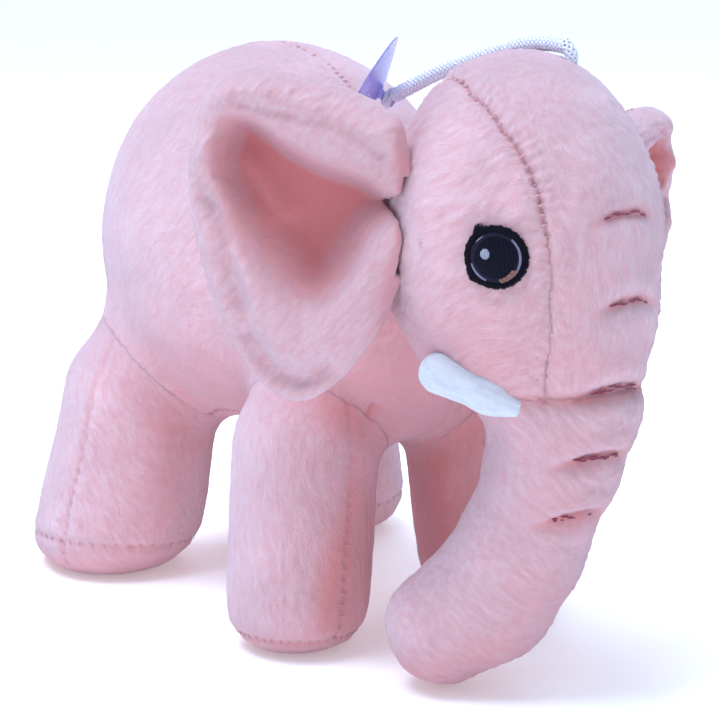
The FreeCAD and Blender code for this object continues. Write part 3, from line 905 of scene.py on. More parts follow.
def plush(name, light, deep, tips_and_sheen, shade_pink, pressed, weight=0.85):
    """Short pile: fine streaks along the nap, with painted shade between the clumps, paler pile ends that
    carry painted sheen, and redder painted shade where the painted shade value is high.
    """
    m = Nodes(name)
    pile = m.attribute("pile").outputs["Vector"]
    painted_shade = m.attribute("painted_shade").outputs["Fac"]
    clumps = m.noise(m.stretch(pile, (0.16, 0.62, 0.62)), 1.0, 3.0)
    hairs = m.noise(m.stretch(pile, (0.45, 4.4, 4.4)), 1.0, 5.0, 0.62)
    cloth = m.noise(m.stretch(pile, (0.03, 0.03, 0.03)), 1.0, 2.0)
    faded = tuple(0.96 * c for c in light)
    base = m.mix(m.ramp(cloth, [(0.35, NONE), (0.65, FULL)]), light, faded)
    streak = m.math("MULTIPLY", clumps, hairs)
    # painted shade between the pile's clumps
    shaded = m.mix(m.ramp(streak, [(0.12, (0.7, 0.7, 0.7)), (0.28, NONE)]), base, deep)
    # paler pile ends, which also carry painted sheen in their bluish colour
    tipped = m.mix(m.ramp(streak, [(0.26, NONE), (0.46, (0.5, 0.5, 0.5))]), shaded, tips_and_sheen)
    # painted shade: a redder pink as the painted shade value rises to one half, then the deepest colour
    # above that
    warm = m.mix(m.ramp(painted_shade, [(0.0, NONE), (0.5, FULL)]), tipped, shade_pink)
    m.paint(m.mix(m.ramp(painted_shade, [(0.5, NONE), (1.0, FULL)]), warm, pressed))
    m.set(Roughness=0.95, IOR=1.3, Sheen_Weight=weight, Sheen_Roughness=0.42)
    m.shader.inputs["Sheen Tint"].default_value = COOL_SHEEN
    height = m.math("ADD", m.math("MULTIPLY", clumps, 0.6), hairs)
    m.bump(height, 0.7, 0.0011)
    return m.material


PINK = (0.88, 0.53, 0.56)
# painted shade between the clumps, and paler pile ends with painted sheen
PINK_GAP_SHADE = (0.80, 0.38, 0.41)
PINK_TIPS_AND_SHEEN = (0.94, 0.72, 0.78)
# a redder pink for painted shade; the last colour given to each plush below is its deepest painted shade
PAINTED_SHADE_PINK = (0.86, 0.33, 0.33)
PINK_PLUSH = plush("pink_plush", PINK, PINK_GAP_SHADE, PINK_TIPS_AND_SHEEN, PAINTED_SHADE_PINK, (0.60, 0.20, 0.21))
# the ear's lining: the same pink plush, with a redder deepest painted shade for its hollow
LINING_PLUSH = plush("ear_lining_plush", PINK, PINK_GAP_SHADE, PINK_TIPS_AND_SHEEN, PAINTED_SHADE_PINK, (0.76, 0.23, 0.225))
# the tusks' white plush: its colour, painted shade between clumps, paler pile ends with painted sheen, and
# two greys for painted shade
WHITE_PLUSH = plush("tusk_plush", (0.84, 0.87, 0.92), (0.66, 0.70, 0.80), (0.93, 0.95, 1.0),
                    (0.78, 0.78, 0.86), (0.50, 0.52, 0.62), weight=0.3)


def thread(name, colour, sheen=0.3, roughness=0.45, shine=0.3):
    """Embroidery or sewing thread, with the twist of its fibres."""
    m = Nodes(name)
    place = m.attribute("pile").outputs["Vector"]
    fibres = m.noise(m.stretch(place, (0.8, 6.0, 6.0)), 1.0, 3.0)
    dark = tuple(0.62 * c for c in colour)
    m.paint(m.mix(m.ramp(fibres, [(0.35, FULL), (0.6, NONE)]), colour, dark))
    m.set(Roughness=roughness, Sheen_Weight=sheen, Sheen_Roughness=0.4, Specular_IOR_Level=shine)
    m.bump(fibres, 0.5, 0.0002)
    return m.material


BLACK_THREAD = thread("black_thread", (0.004, 0.004, 0.010), 0.0, 0.7, 0.1)
NAVY_THREAD = thread("navy_thread", (0.003, 0.003, 0.014), 0.0, 0.6, 0.15)
GREY_THREAD = thread("grey_lavender_thread", (0.30, 0.27, 0.42))
PURPLE_THREAD = thread("purple_thread", (0.016, 0.011, 0.034), 0.05, 0.6, 0.15)
BROWN_THREAD = thread("brown_thread", (0.34, 0.15, 0.11))
HIGHLIGHT_THREAD = thread("highlight_thread", (0.42, 0.45, 0.56))
ROSE_THREAD = thread("rose_thread", (0.36, 0.07, 0.13), 0.2, 0.6)
SEAM_THREAD = thread("seam_thread", (0.80, 0.44, 0.47), 0.3, 0.8)


def cord_braid():
    m = Nodes("cord_braid")
    place = m.attribute("pile").outputs["Vector"]
    fibres = m.noise(m.stretch(place, (1.2, 7.0, 7.0)), 1.0, 3.0)
    m.paint(m.mix(fibres, (0.90, 0.93, 1.0), (0.70, 0.74, 0.88)))
    m.set(Roughness=0.75, Sheen_Weight=0.5, Sheen_Roughness=0.4)
    m.shader.inputs["Sheen Tint"].default_value = (0.85, 0.9, 1.0, 1)
    m.bump(fibres, 0.5, 0.0002)
    return m.material


def cord_core():
    m = Nodes("cord_core")
    place = m.add("ShaderNodeNewGeometry").outputs["Position"]
    m.paint(m.mix(m.noise(place, 900.0), (0.62, 0.66, 0.80), (0.78, 0.82, 0.93)))
    m.set(Roughness=0.9)
    return m.material


def soft_plastic():
    """The clear lavender rubber of the suction cup, a little clouded, with faint moulding rings."""
    m = Nodes("lavender_rubber")
    place = m.attribute("pile").outputs["Vector"]
    cloud = m.noise(m.stretch(place, (0.25, 0.25, 0.25)), 1.0, 3.0)
    m.paint(m.mix(cloud, (0.50, 0.47, 0.93), (0.64, 0.60, 0.97)))
    haze = m.ramp(cloud, [(0.2, (0.16, 0.16, 0.16)), (0.8, (0.30, 0.30, 0.30))])
    m.link(haze, m.shader.inputs["Roughness"])
    m.set(IOR=1.43, Transmission_Weight=0.55)
    rings = m.add("ShaderNodeTexWave", wave_type="RINGS", rings_direction="Z")
    rings.inputs["Scale"].default_value = 0.35
    rings.inputs["Distortion"].default_value = 0.6
    m.link(place, rings.inputs["Vector"])
    m.bump(rings.outputs["Fac"], 0.12, 0.0003)
    return m.material


CORD_BRAID = cord_braid()
CORD_CORE = cord_core()
LAVENDER_RUBBER = soft_plastic()


# ---- strands: stitches and embroidery ----------------------------------------------------------------
STRAND_SIDES = 6


def strand_set(name, lines, ups, radius, material, flat=0.75):
    """Short threads. Each line is points in millimetres, and ups are the surface's directions there."""
    points, faces, places = [], [], []
    for line, up in zip(lines, ups):
        line = np.asarray(line, float)
        up = np.broadcast_to(np.asarray(up, float), line.shape)
        ahead = unit_rows(np.gradient(line, axis=0))
        across = unit_rows(np.cross(ahead, up))
        lift = np.cross(across, ahead)
        run = np.linspace(0, 1, len(line))
        size = radius * (0.35 + 0.65 * np.sin(math.pi * np.clip(run, 0.04, 0.96)) ** 0.4)
        start = len(points) * STRAND_SIDES
        for k, centre in enumerate(line):
            turn = np.arange(STRAND_SIDES) * 2 * math.pi / STRAND_SIDES
            out = np.cos(turn)[:, None] * across[k] + flat * np.sin(turn)[:, None] * lift[k]
            ring = centre + size[k] * out
            points.append(ring)
            length = run[k] * np.linalg.norm(line[-1] - line[0])
            places.append(np.stack([np.full(STRAND_SIDES, length + start), np.cos(turn), np.sin(turn)], -1))
        for k in range(len(line) - 1):
            for j in range(STRAND_SIDES):
                a = start + k * STRAND_SIDES + j
                b = start + k * STRAND_SIDES + (j + 1) % STRAND_SIDES
                faces.append((a, b, b + STRAND_SIDES, a + STRAND_SIDES))
    piece = new_mesh(name, np.concatenate(points), faces, material)
    add_values(piece, "pile", np.concatenate(places))
    return piece


def seam_stitches(name, body, keys, pitch, length, radius, material, keep):
    """Sunken stitches across seams, at the places where the skin's seam lines run."""
    points, normal = body.points, body.normal
    drawn, ups = [], []
    for key in keys:
        where, distance, across, along = body.seams[key]
        near = (np.abs(distance) < 1.4) & keep(points[where])
        if not near.any():
            continue
        where, distance, across, along = where[near], distance[near], across[near], along[near]
        for s in np.arange(along.min() + 1.0, along.max() - 1.0, pitch):
            score = np.abs(distance) + np.abs(along - s)
            for side in (-1, 1):
                mine = score + 50.0 * (np.sign(points[where][:, 0]) != side) if key == "belly" else score
                best = np.argmin(mine)
                if mine[best] > 1.3:
                    continue
                v = where[best]
                way = across[best] / max(np.linalg.norm(across[best]), 1e-6)
                t = np.linspace(-0.5, 0.5, 7)[:, None]
                sink = 0.55 * length * (2 * t) ** 2
                centre = points[v] + normal[v] * 0.55
                drawn.append(centre + way * t * length - normal[v] * sink * 0.6)
                ups.append(normal[v])
                if key != "belly":
                    break
    return strand_set(name, drawn, ups, radius, material)


# ---- making the ears ---------------------------------------------------------------------------------
EAR_CELL = 1.15


def make_ear(name):
    at, axes = ear_place(name)
    ear = Ear(EARS[name][3])
    in_ear = lambda p: (p - at) @ axes.T

    def field(p):
        q = in_ear(p)
        own = ear.field(q)
        away = 0.8 - head_field(p)
        rooted = np.abs(q[..., 1] - 4.0) - 13.0
        return soft_max(own, np.minimum(away, -rooted), 2.0)

    corners = np.array([(u, v, n) for u in (-9, 65) for v in (-51, 51) for n in (-22, 9)]) @ axes + at
    low = corners.min(0) - 1
    points = grid_points(low, corners.max(0) + 1, EAR_CELL)
    points, quads = surface_nets(in_parts(field, points), low, EAR_CELL)
    points = pull_to_surface(field, points, 3)
    points, quads = split_quads(points, quads)
    points = pull_to_surface(field, points, 2)
    normal = normals_of(field, points)
    q = in_ear(points)
    edge = ear.look_up(q[:, 0], q[:, 1], 0)
    front = ear.look_up(q[:, 0], q[:, 1], 1)
    back = ear.look_up(q[:, 0], q[:, 1], 2)
    depth = ear.look_up(q[:, 0], q[:, 1], 3) / EAR_HOLLOW_DEPTH
    # the hollow's painted shade, on the front of the ear only
    colour = ear.look_up(q[:, 0], q[:, 1], 4) * (q[:, 2] > 0.5 * (front + back))
    ways = NAP["ear"]
    ways = (ways[0] * -EARS[name][2], ways[1], ways[2])
    seam = q[:, 2] - (0.35 * front + 0.65 * back)
    nearly = np.abs(edge) < 9
    groove = np.exp(-(seam / 1.3) ** 2) * nearly
    smooth_inside = 1 - 0.8 * smooth_step(depth, 0.5, 0.95)
    fur = 0.42 * pile_height(points, ways, 5.5, 1.5) * smooth_inside
    lumps = 0.45 * noise(points / 16.0, 11)
    points = points + normal * (fur + lumps - 0.8 * groove)[:, None]
    # painted shade where other cloth is close, in the hollow and along the groove of the edge's seam
    shade = 0.4 * shut_in(body_field, points, normal)
    painted_shade = np.clip(np.maximum(shade, 0.95 * colour) + 0.3 * groove, 0.0, 1.0)
    shading = vertex_normals(points, quads)
    pile = points @ nap_frame(ways)
    on_front = seam[quads].mean(1) > 0
    made = []
    for part, keep, material in (("lining", on_front, LINING_PLUSH), ("outer", ~on_front, PINK_PLUSH)):
        made.append(cut_out("ear_%s_%s" % (part, name), points, quads, keep, shading, pile, painted_shade, material))
    at_edge = np.nonzero((np.abs(seam) < 0.6) & nearly & (q[:, 0] > 3))[0]
    around = np.degrees(np.arctan2(q[at_edge, 1], q[at_edge, 0] - 26.0))
    drawn, ups = [], []
    for turn in np.arange(-178, 178, 5.0):
        close = np.abs(around - turn)
        best = np.argmin(close)
        if close[best] > 1.5:
            continue
        v = at_edge[best]
        t = np.linspace(-0.5, 0.5, 7)[:, None]
        way = axes[2]
        drawn.append(points[v] + normal[v] * (0.35 - 1.0 * (2 * t) ** 2 * 0.6) + way * t * 2.4)
        ups.append(normal[v])
    made.append(strand_set("ear_stitches_" + name, drawn, ups, 0.28, SEAM_THREAD))
    for piece in made:
        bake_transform(piece)
    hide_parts("ear_lining_" + name)
    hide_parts("ear_outer_" + name)


# ---- tusks and tail ----------------------------------------------------------------------------------
TUSK_ROOT = np.array([17.2, -15.2, -42.4])
TUSK_WAY = np.array([0.58, 0.76, 0.36])


def small_plush(name, field, low, high, cell, way, material, depth, seam):
    """A small stuffed piece with a seam where seam(p) is zero."""
    points = grid_points(low, high, cell)
    points, quads = surface_nets(in_parts(field, points), low, cell)
    points, quads = split_quads(points, quads)
    points = pull_to_surface(field, points, 2)
    normal = normals_of(field, points)
    distance, _ = seam_distance(seam, points, normal)
    groove = np.exp(-(distance / 0.8) ** 2)
    fur = depth * pile_height(points, way, 4.0, 1.0)
    lumps = 0.25 * noise(points / 7.0, 21)
    points = points + normal * (fur + lumps - 0.45 * groove)[:, None]
    pile = points @ nap_frame(way)
    # painted shade along the seam's groove, with a little variation with the pile's height
    painted_shade = 0.5 * groove + 0.1 * fur
    everything = np.ones(len(quads), bool)
    return cut_out(name, points, quads, everything, vertex_normals(points, quads), pile, painted_shade, material)


def make_tusk(side, name):
    root = HEAD_AT + HEAD_TURNED @ mirrored(TUSK_ROOT, side)
    way = HEAD_TURNED @ mirrored(TUSK_WAY, side)
    way = way / np.linalg.norm(way)
    base = root - way * 2.0
    waist = root + way * 6.0
    end = root + way * 20.2
    balls = [(base, 3.9), (waist, 5.0), (end, 5.9)]
    field = lambda p: chain(p, balls, 4.0)
    across = np.cross(way, [0, 0, 1.0])
    across = across / np.linalg.norm(across)
    low = np.minimum(base, end) - 9
    high = np.maximum(base, end) + 9
    seam = lambda p: (p - root) @ across
    piece = small_plush("tusk_cover_" + name, field, low, high, 0.8, way, WHITE_PLUSH, 0.16, seam)
    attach(piece, "head")
    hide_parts("tusk_cover_" + name, "tusk_stuffing_" + name)


TAIL = [
    (np.array([0.0, 109.5, 149.0]), 3.2),
    (np.array([0.0, 115.2, 141.0]), 3.5),
    (np.array([0.0, 119.6, 128.0]), 3.9),
    (np.array([0.0, 121.9, 114.5]), 4.6),
]


def make_tail():
    field = lambda p: chain(p, TAIL, 4.0)
    low = np.array([-8.0, 100.0, 106.0])
    high = np.array([8.0, 130.0, 156.0])
    seam = lambda p: p[:, 0]
    piece = small_plush("tail_cover", field, low, high, 0.9, (0, 0.2, -1), PINK_PLUSH, 0.25, seam)
    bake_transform(piece)
    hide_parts("tail")


# ---- embroidered eyes --------------------------------------------------------------------------------
# Sizes on an eye are (towards the face, upwards) from its centre, as the right eye shows them.
PUPIL_HALF = (6.1, 6.4)
PUPIL_AT = (0.3, 0.3)
IRIS_INNER = (4.9, 5.2)
IRIS_OUTER = (7.5, 7.0)
RING_INNER = (6.9, 6.5)
RING_OUTER = (9.1, 8.5)
HIGHLIGHT_AT = (-2.5, 0.9)
HIGHLIGHT_HALF = (1.25, 1.8)
THREAD_R = 0.27
ROW = 0.42               # distance between neighbouring threads


class EyePlace:
    """Puts flat eye drawings on the side of the head."""

    def __init__(self, side):
        mirror = np.array([1 if side < 0 else -1, 1, 1])
        at = HEAD_AT + HEAD_TURNED @ (in_head(EYE_AT[None])[0] * mirror)
        self.at = pull_to_surface(head_field, at[None], 4)[0]
        self.normal = normals_of(head_field, self.at[None])[0]
        up = np.array([0, 0, 1.0])
        up = up - (up @ self.normal) * self.normal
        self.up = up / np.linalg.norm(up)
        self.across = np.cross(self.up, self.normal) * (1 if side < 0 else -1)

    def lay(self, flat, lift):
        flat = np.asarray(flat, float)
        p = self.at + flat[:, :1] * self.across + flat[:, 1:2] * self.up
        p = pull_to_surface(head_field, p, 3)
        n = normals_of(head_field, p)
        dome = 0.55 * (1 - ((flat / 10.0) ** 2).sum(-1))
        return p + n * (lift + dome - 0.25)[:, None], n


def satin(place, starts, ends, lift, wobble):
    """Threads laid side by side from one line to another."""
    lines, ups = [], []
    for i, (a, b) in enumerate(zip(starts, ends)):
        t = np.linspace(0, 1, 6)[:, None]
        flat = a + (b - a) * t
        shift = wobble * math.sin(i * 2.399)
        arch = lift + 0.12 * np.sin(math.pi * t[:, 0]) - 0.5 * (np.abs(2 * t[:, 0] - 1) ** 6) + 0.04 * shift
        line, up = place.lay(flat + shift * 0.12, arch)
        lines.append(line)
        ups.append(up)
    return lines, ups


def around(turn, half, middle=(0.0, 0.0)):
    return np.stack([middle[0] + half[0] * np.cos(turn), middle[1] + half[1] * np.sin(turn)], -1)


def ring_outer(turn):
    """The black outline, with a lash point at the upper back and a corner at the lower back."""
    lash = 1.7 * np.exp(-((turn - math.radians(122)) / 0.16) ** 2)
    corner = 1.1 * np.exp(-((turn - math.radians(221)) / 0.24) ** 2)
    waver = 0.12 * np.sin(turn * 23.0) + 0.08 * np.sin(turn * 41.0)
    return around(turn, RING_OUTER) * (1 + (lash + corner + waver) / 8.8)[:, None]


def filled(half, middle, row, slant):
    """The ends of parallel threads that fill an ellipse."""
    count = int(2 * half[0] / row)
    a = (np.arange(count) + 0.5) / count * 2 - 1
    reach = np.sqrt(np.clip(1 - a ** 2, 0, 1))
    low = np.stack([a * half[0], -reach * half[1]], -1)
    high = np.stack([a * half[0], reach * half[1]], -1)
    c, s = math.cos(slant), math.sin(slant)
    turn = np.array([[c, s], [-s, c]])
    return low @ turn + middle, high @ turn + middle


def make_eye(side, name):
    place = EyePlace(side)

    def sew(part, lines_ups, material, radius=THREAD_R):
        piece = strand_set("eye_%s_%s" % (part, name), *lines_ups, radius, material, 0.6)
        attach(piece, "head")
        return piece

    turn = np.linspace(0, 2 * math.pi, 150, endpoint=False)
    inner = around(turn + 0.10, RING_INNER)
    ring = sew("ring", satin(place, inner, ring_outer(turn), 0.30, 0.5), BLACK_THREAD)
    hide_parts("eye_embroidery_" + name)
    turn = np.linspace(0, 2 * math.pi, 120, endpoint=False)
    iris = satin(place, around(turn, IRIS_INNER, PUPIL_AT), around(turn + 0.12, IRIS_OUTER), 0.10, 0.8)
    sew("iris", iris, PURPLE_THREAD)
    low, high = filled(PUPIL_HALF, PUPIL_AT, ROW, 0.25)
    sew("pupil", satin(place, low, high, 0.32, 0.4), NAVY_THREAD, 0.29)
    grey = [(-40, 50, 6.7, 7.1), (196, 250, 6.6, 7.1), (120, 142, 6.6, 6.9)]
    lines, ups = [], []
    for first, last, near, far in grey:
        for radius in np.arange(near, far + 0.01, 0.33):
            span = np.radians(np.linspace(first, last, 12))
            flat = around(span, (radius, radius * 0.95))
            line, up = place.lay(flat, np.full(len(flat), 0.42))
            lines.append(line)
            ups.append(up)
    sew("crescents", (lines, ups), GREY_THREAD, 0.15)
    turn = np.radians(np.linspace(-78, -34, 14))
    amber = satin(place, around(turn, (5.2, 5.6)), around(turn + 0.1, (7.3, 6.9)), 0.46, 0.8)
    sew("amber", amber, BROWN_THREAD, 0.22)
    low, high = filled(HIGHLIGHT_HALF, HIGHLIGHT_AT, 0.36, 0.0)
    sew("highlight", satin(place, low, high, 0.62, 0.2), HIGHLIGHT_THREAD, 0.22)


# ---- crease stitches ---------------------------------------------------------------------------------
def crease_stitches(name, which, field, body_pair, start, end):
    """Back stitches in rose thread, sunk in the creases."""
    lines, ups = [], []
    for index in which:
        at, depth, half = CREASES[index]
        for row in range(CREASE_ROWS[index]):
            for k in range(7):
                a = -half * 0.86 + k * half * 0.25 + 0.5 * math.sin(k * 2.1 + row * 1.3 + index)
                b = a + half * 0.25 * 1.1
                t = np.linspace(0, 1, 7)[:, None]
                side = a + (b - a) * t
                rise = 0.35 * math.sin(k * 1.7 + row * 2.0 + index) + (row - 0.5) * 0.55
                p = at + CREASE_SIDE * side + np.array([0, 0, 1.0]) * (rise - CREASE_BEND * side ** 2)
                p = pull_to_surface(field, p, 5)
                n = normals_of(field, p)
                lines.append(p - n * (depth * 0.7 - 0.35 + 0.55 * (2 * t - 1) ** 2))
                ups.append(n)
    piece = strand_set(name, lines, ups, 0.26, ROSE_THREAD)
    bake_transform(piece)
    return piece


# ---- the cord and its suction cup --------------------------------------------------------------------
CORD_D = 4.4
CORD_POINTS = [
    (3.4, -93.0, 182.3),
    (2.4, -85.5, 183.2),
    (1.0, -76.5, 182.0),
    (-1.2, -66.5, 179.4),
    (-3.8, -56.0, 176.2),
    (-6.2, -46.0, 172.6),
    (-8.2, -37.4, 168.6),
    (-9.4, -30.2, 165.4),
]
BRAID_CARRIERS = 9
BRAID_LEAD = 13.0
BRAID_R = 0.42
CUP_RIM_AT = np.array([-14.70, -23.27, 168.23])
CUP_AXIS = np.array([0.64, -0.56, -0.53])
CUP_KNOB_AT = 7.6
# The cup's section as (radius, height), from the middle of its outside over the rim to the middle of
# its inside.
CUP_SECTION = [
    (0.0, 9.9), (1.4, 9.6), (2.2, 8.6), (2.3, 7.6), (1.9, 6.4), (1.35, 5.7), (1.4, 5.0), (2.4, 4.6),
    (3.6, 4.35), (5.6, 3.75), (8.2, 3.0), (11.5, 2.0), (14.4, 1.05), (16.1, 0.55), (16.5, 0.3),
    (16.4, 0.05), (15.9, 0.0), (14.2, 0.25), (11.2, 0.95), (8.0, 1.75), (5.4, 2.35), (3.0, 2.8),
    (0.0, 2.9),
]


def cup_axes():
    """The cup's axis and two directions across it."""
    axis = CUP_AXIS / np.linalg.norm(CUP_AXIS)
    first = np.cross(axis, [0, 0, 1.0])
    first /= np.linalg.norm(first)
    return axis, first, np.cross(axis, first)


def curve_points(curve_object):
    """Points along a curve that has no bevel, in millimetres."""
    mesh = bpy.data.meshes.new_from_object(curve_object)
    points = np.array([v.co for v in mesh.vertices]) / MM
    bpy.data.meshes.remove(mesh)
    return points


def frames_along(points):
    """Directions ahead, across and up at each point, without twist."""
    ahead = np.gradient(points, axis=0)
    ahead /= np.linalg.norm(ahead, axis=-1)[:, None]
    across = np.cross(ahead, [0, 0, 1.0])
    across /= np.linalg.norm(across, axis=-1)[:, None]
    return ahead, across, np.cross(across, ahead)


def braid(points, radius, carriers, lead, strand_r, taper_to=1.0):
    """Threads that wind both ways round a line, over and under each other."""
    steps = np.linalg.norm(np.diff(points, axis=0), axis=-1)
    run = np.concatenate([[0], np.cumsum(steps)])
    count = int(run[-1] / 0.42)
    s = np.linspace(0, run[-1], count)
    line = np.stack([np.interp(s, run, points[:, k]) for k in range(3)], -1)
    _, across, lift = frames_along(line)
    lines, ups = [], []
    slim = 1 + (taper_to - 1) * s / run[-1]
    for way in (-1, 1):
        for k in range(carriers):
            turn = way * (2 * math.pi * (s / lead + k / carriers))
            weave = 0.16 * way * np.sign(np.cos(turn * carriers)) * np.abs(np.cos(turn * carriers)) ** 0.5
            out = np.cos(turn)[:, None] * across + np.sin(turn)[:, None] * lift
            lines.append(line + out * ((radius - strand_r * 0.75 + weave) * slim)[:, None])
            ups.append(out)
    return lines, ups, strand_r


def make_cord():
    curve = bpy.data.curves.new("hanging_cord", "CURVE")
    curve.dimensions = "3D"
    curve.resolution_u = 24
    route = curve.splines.new("NURBS")
    route.points.add(len(CORD_POINTS) - 1)
    for point, at in zip(route.points, CORD_POINTS):
        point.co = (*[value * MM for value in at], 1)
    route.order_u = 3
    route.use_endpoint_u = True
    cord = placed("hanging_cord", curve)
    points = curve_points(cord)
    curve.bevel_depth = (CORD_D / 2 - 0.3) * MM
    curve.bevel_resolution = 6
    curve.use_fill_caps = True
    curve.materials.append(CORD_CORE)
    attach(cord, "head")
    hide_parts("hanging_cord")
    lines, ups, size = braid(points, CORD_D / 2, BRAID_CARRIERS, BRAID_LEAD, BRAID_R)
    woven = strand_set("cord_braid", lines, ups, size, CORD_BRAID, 0.7)
    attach(woven, "head")
    return cord, woven, points


def make_cord_ends(points):
    """The cord's tapering entry into the crown seam, and its other end wound round the cup's knob."""
    into = [points[0] + np.array([0.0, 1.0, 0.0]), points[0], points[0] + np.array([0.2, -1.5, -1.3])]
    into += [points[0] + np.array([0.3, -2.2, -3.2]), points[0] + np.array([0.3, -2.3, -5.2])]
    lines, ups, size = braid(spline(into, 40), 2.1, 7, 12.0, 0.42, 0.7)
    entry = strand_set("cord_entry", lines, ups, size, CORD_BRAID, 0.7)
    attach(entry, "head")
    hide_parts("cord_exit_tack")
    axis, first, second = cup_axes()
    knob = CUP_RIM_AT + axis * CUP_KNOB_AT
    lines, ups = [], []
    for k in range(7):
        turn = np.linspace(0, 2 * math.pi * 1.02, 40) + k * 0.9
        rise = (k - 3) * 0.36 + 0.2 * np.sin(turn * 3 + k)
        radius = 2.95 + 0.25 * math.sin(k * 1.9) + 0.1 * np.sin(turn * 5)
        out = np.cos(turn)[:, None] * first + np.sin(turn)[:, None] * second
        lines.append(knob + out * radius[:, None] + axis * rise[:, None])
        ups.append(out)
    loop = strand_set("cord_loop_winding", lines, ups, 0.42, CORD_BRAID, 0.8)
    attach(loop, "head")
    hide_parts("cord_loop")
    return entry, loop


def make_cup():
    section = spline(CUP_SECTION, 110)
    section[:, 0] = np.clip(section[:, 0], 0.0, None)
    section[0, 0] = section[-1, 0] = 0.02
    axis, first, second = cup_axes()
    sides = 128
    turn = np.arange(sides) * 2 * math.pi / sides
    out = np.cos(turn)[:, None] * first + np.sin(turn)[:, None] * second
    waver = 0.12 * np.sin(2 * turn + 0.6) + 0.06 * np.sin(5 * turn)
    rings = []
    for radius, height in section:
        bend = waver * (radius / 16.5) ** 3
        rings.append(CUP_RIM_AT + out * radius + axis * (height + bend)[:, None])
    points = np.concatenate(rings)
    faces = []
    for k in range(len(section) - 1):
        for j in range(sides):
            n = (j + 1) % sides
            faces.append((k * sides + j, (k + 1) * sides + j, (k + 1) * sides + n, k * sides + n))
    piece = new_mesh("suction_cup_rubber", points, faces, LAVENDER_RUBBER)
    local = (points - CUP_RIM_AT) @ np.stack([first, second, axis], -1)
    add_values(piece, "pile", local)
    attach(piece, "suction_cup")
    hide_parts("suction_cup")
    return piece


# ---- stage -------------------------------------------------------------------------------------------
FLOOR_HALF = 4.0e4
FLOOR_GLOW = [(0.06, (0.25, 0.25, 0.25)), (0.9, (0.55, 0.55, 0.55))]
SKY = (0.70, 0.82, 1.0)
SKY_POWER = 0.62
KEY_POWER = 27.0
RIM_POWER = 5.0


def make_camera():
    camera = placed("camera", bpy.data.cameras.new("camera"))
    level = math.cos(CAMERA_EL)
    back = Vector((math.sin(CAMERA_AZ) * level, -math.cos(CAMERA_AZ) * level, math.sin(CAMERA_EL)))
    camera.location = CAMERA_TARGET + back * CAMERA_DISTANCE
    camera.rotation_mode = "QUATERNION"
    camera.rotation_quaternion = (-back).to_track_quat("-Z", "Y")
    camera.data.lens = CAMERA_LENS
    camera.data.sensor_width = 36.0
    camera.data.clip_start = 0.01
    camera.data.clip_end = 30.0
    bpy.context.scene.camera = camera


def area_light(name, at, aim, size, power, colour):
    light = bpy.data.lights.new(name, "AREA")
    light.shape = "SQUARE"
    light.size = size
    light.energy = power
    light.color = colour
    lamp = placed(name, light)
    lamp.location = at
    lamp.rotation_mode = "QUATERNION"
    lamp.rotation_quaternion = (Vector(aim) - Vector(at)).to_track_quat("-Z", "Y")


def make_stage():
    m = Nodes("floor_paper")
    place = m.add("ShaderNodeNewGeometry").outputs["Position"]
    m.paint(m.mix(m.noise(place, 40.0), (0.93, 0.93, 0.95), (0.95, 0.95, 0.97)))
    away = m.add("ShaderNodeVectorMath", operation="LENGTH")
    m.link(place, away.inputs[0])
    glow = m.ramp(m.math("MULTIPLY", away.outputs["Value"], 0.6), FLOOR_GLOW)
    m.link(glow, m.shader.inputs["Emission Strength"])
    m.shader.inputs["Emission Color"].default_value = (0.95, 0.97, 1.0, 1)
    m.set(Roughness=0.9)
    corners = [(-FLOOR_HALF, -FLOOR_HALF, 0), (FLOOR_HALF, -FLOOR_HALF, 0)]
    corners += [(FLOOR_HALF, FLOOR_HALF, 0), (-FLOOR_HALF, FLOOR_HALF, 0)]
    floor = new_mesh("floor", np.array(corners), np.array([[0, 1, 2, 3]]), m.material)
    world = bpy.data.worlds.new("studio")
    world.use_nodes = True
    background = world.node_tree.nodes["Background"]
    background.inputs["Color"].default_value = (*SKY, 1)
    background.inputs["Strength"].default_value = SKY_POWER
    bpy.context.scene.world = world
    area_light("key", (-0.35, 0.10, 1.40), (0.0, 0.0, 0.08), 0.9, KEY_POWER, SKY)
    area_light("rim", (0.7, 0.6, 0.9), (0.0, 0.0, 0.1), 0.8, RIM_POWER, SKY)
    bpy.context.scene.view_settings.view_transform = "Standard"


# ---- everything in its place -------------------------------------------------------------------------
make_camera()
make_stage()
cord, woven, cord_line = make_cord()
entry, loop = make_cord_ends(cord_line)
cup = make_cup()

body = make_body()
points, quads = body.points, body.quads
shading = vertex_normals(points, quads)
of_face = {name: where[quads].sum(1) >= 3 for name, where in body.of_group.items()}
taken = np.sum([f.astype(int) for f in of_face.values()], 0)
of_face["torso"] |= taken == 0
centre = points[quads].mean(1)


def skin(name, keep):
    piece = cut_out(name, points, quads, keep, shading, body.pile, body.painted_shade, PINK_PLUSH)
    return piece


def place_on(distance):
    return (TRUNK[0][0] + TRUNK_AXIS * distance) * MM


neck = [np.array([0.0, y, 121.0]) * MM for y in HEAD_BLEND]
belly = (belly_field(centre) < 0) & (centre[:, 2] < 78)
above = trunk_top_field(centre) >= 0
on_gusset = gusset_field(centre) < 0
on_right = in_head(centre)[:, 0] < 0
of_torso, of_head = of_face["torso"], of_face["head"] & above
neck_parts = [
    ("torso_side_right", of_torso & ~belly & (centre[:, 0] < 0), []),
    ("torso_side_left", of_torso & ~belly & (centre[:, 0] >= 0), []),
    ("belly_panel", of_torso & belly, ["torso_stuffing"]),
    ("head_side_right", of_head & ~on_gusset & on_right, []),
    ("head_side_left", of_head & ~on_gusset & ~on_right, []),
    ("forehead_gusset", of_head & on_gusset, ["head_stuffing"]),
]
for name, keep, inside in neck_parts:
    piece = skin("skin_" + name, keep)
    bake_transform(piece)
    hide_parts(name, *inside)

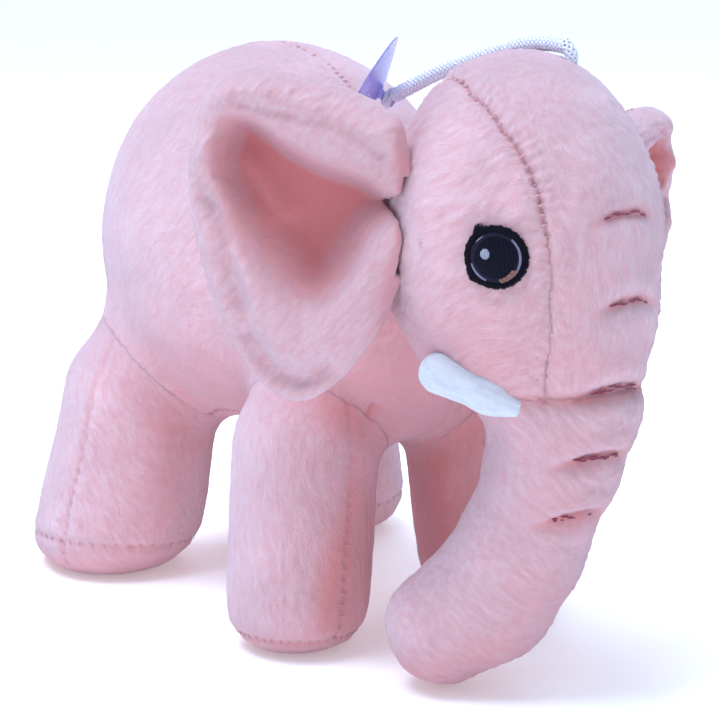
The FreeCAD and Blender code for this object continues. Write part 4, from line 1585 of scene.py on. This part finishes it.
on_tip = trunk_run(centre) > TRUNK_BLEND[1]
trunk_parts = [
    ("trunk_base", ~on_tip, ("head", "trunk"), TRUNK_BLEND),
    ("trunk_tip", on_tip, ("trunk", "trunk_tip"), TIP_BLEND),
]
for name, keep, pair, bend in trunk_parts:
    piece = skin("skin_" + name, of_face["head"] & ~above & keep)
    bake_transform(piece)
    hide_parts(name + "_cover", name + "_stuffing")

any_torso = body.of_group["torso"]
for name in LEGS:
    mixed = of_face[name] & any_torso[quads].any(1)
    start = centre[mixed, 2].min() - 0.5
    hip = LEGS[name][0]
    bend = [np.array([hip[0], hip[1], z]) * MM for z in (start, start - LEG_BEND)]
    on_sole = sole_field(centre, name) < 0
    piece = skin("skin_leg_" + name, of_face[name] & ~on_sole)
    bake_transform(piece)
    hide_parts("leg_cover_" + name, "leg_stuffing_" + name)
    piece = skin("skin_sole_" + name, of_face[name] & on_sole)
    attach(piece, "leg_" + name)
    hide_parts("sole_" + name)
    low_leg = lambda p: p[:, 2] < start
    sewn = seam_stitches("stitches_leg_" + name, body, ["up_" + name, "sole_" + name],
                         PUCKER, 1.7, 0.2, SEAM_THREAD, low_leg)
    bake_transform(sewn)

sewn = seam_stitches("stitches_head", body, ["gusset_right", "gusset_left"],
                     PUCKER, 2.0, 0.22, SEAM_THREAD, lambda p: (p[:, 1] < -52) & (p[:, 2] > 135))
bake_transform(sewn)
sewn = seam_stitches("stitches_torso", body, ["back", "belly"],
                     PUCKER, 1.8, 0.2, SEAM_THREAD, lambda p: p[:, 1] > -30)
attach(sewn, "torso")

both = lambda p: np.minimum(head_field(p), trunk_field(p))
threads = crease_stitches("crease_stitches_face", (0, 1, 2), both, ("torso", "head"), *neck)
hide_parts("face_crease_threads")
threads = crease_stitches("crease_stitches_trunk", (3, 4), both, ("head", "trunk"),
                          place_on(TRUNK_BLEND[0]), place_on(TRUNK_BLEND[1]))
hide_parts("trunk_crease_threads")

make_ear("right")
make_ear("left")
for side, name in ((-1, "right"), (1, "left")):
    make_tusk(side, name)
    make_eye(side, name)
make_tail()
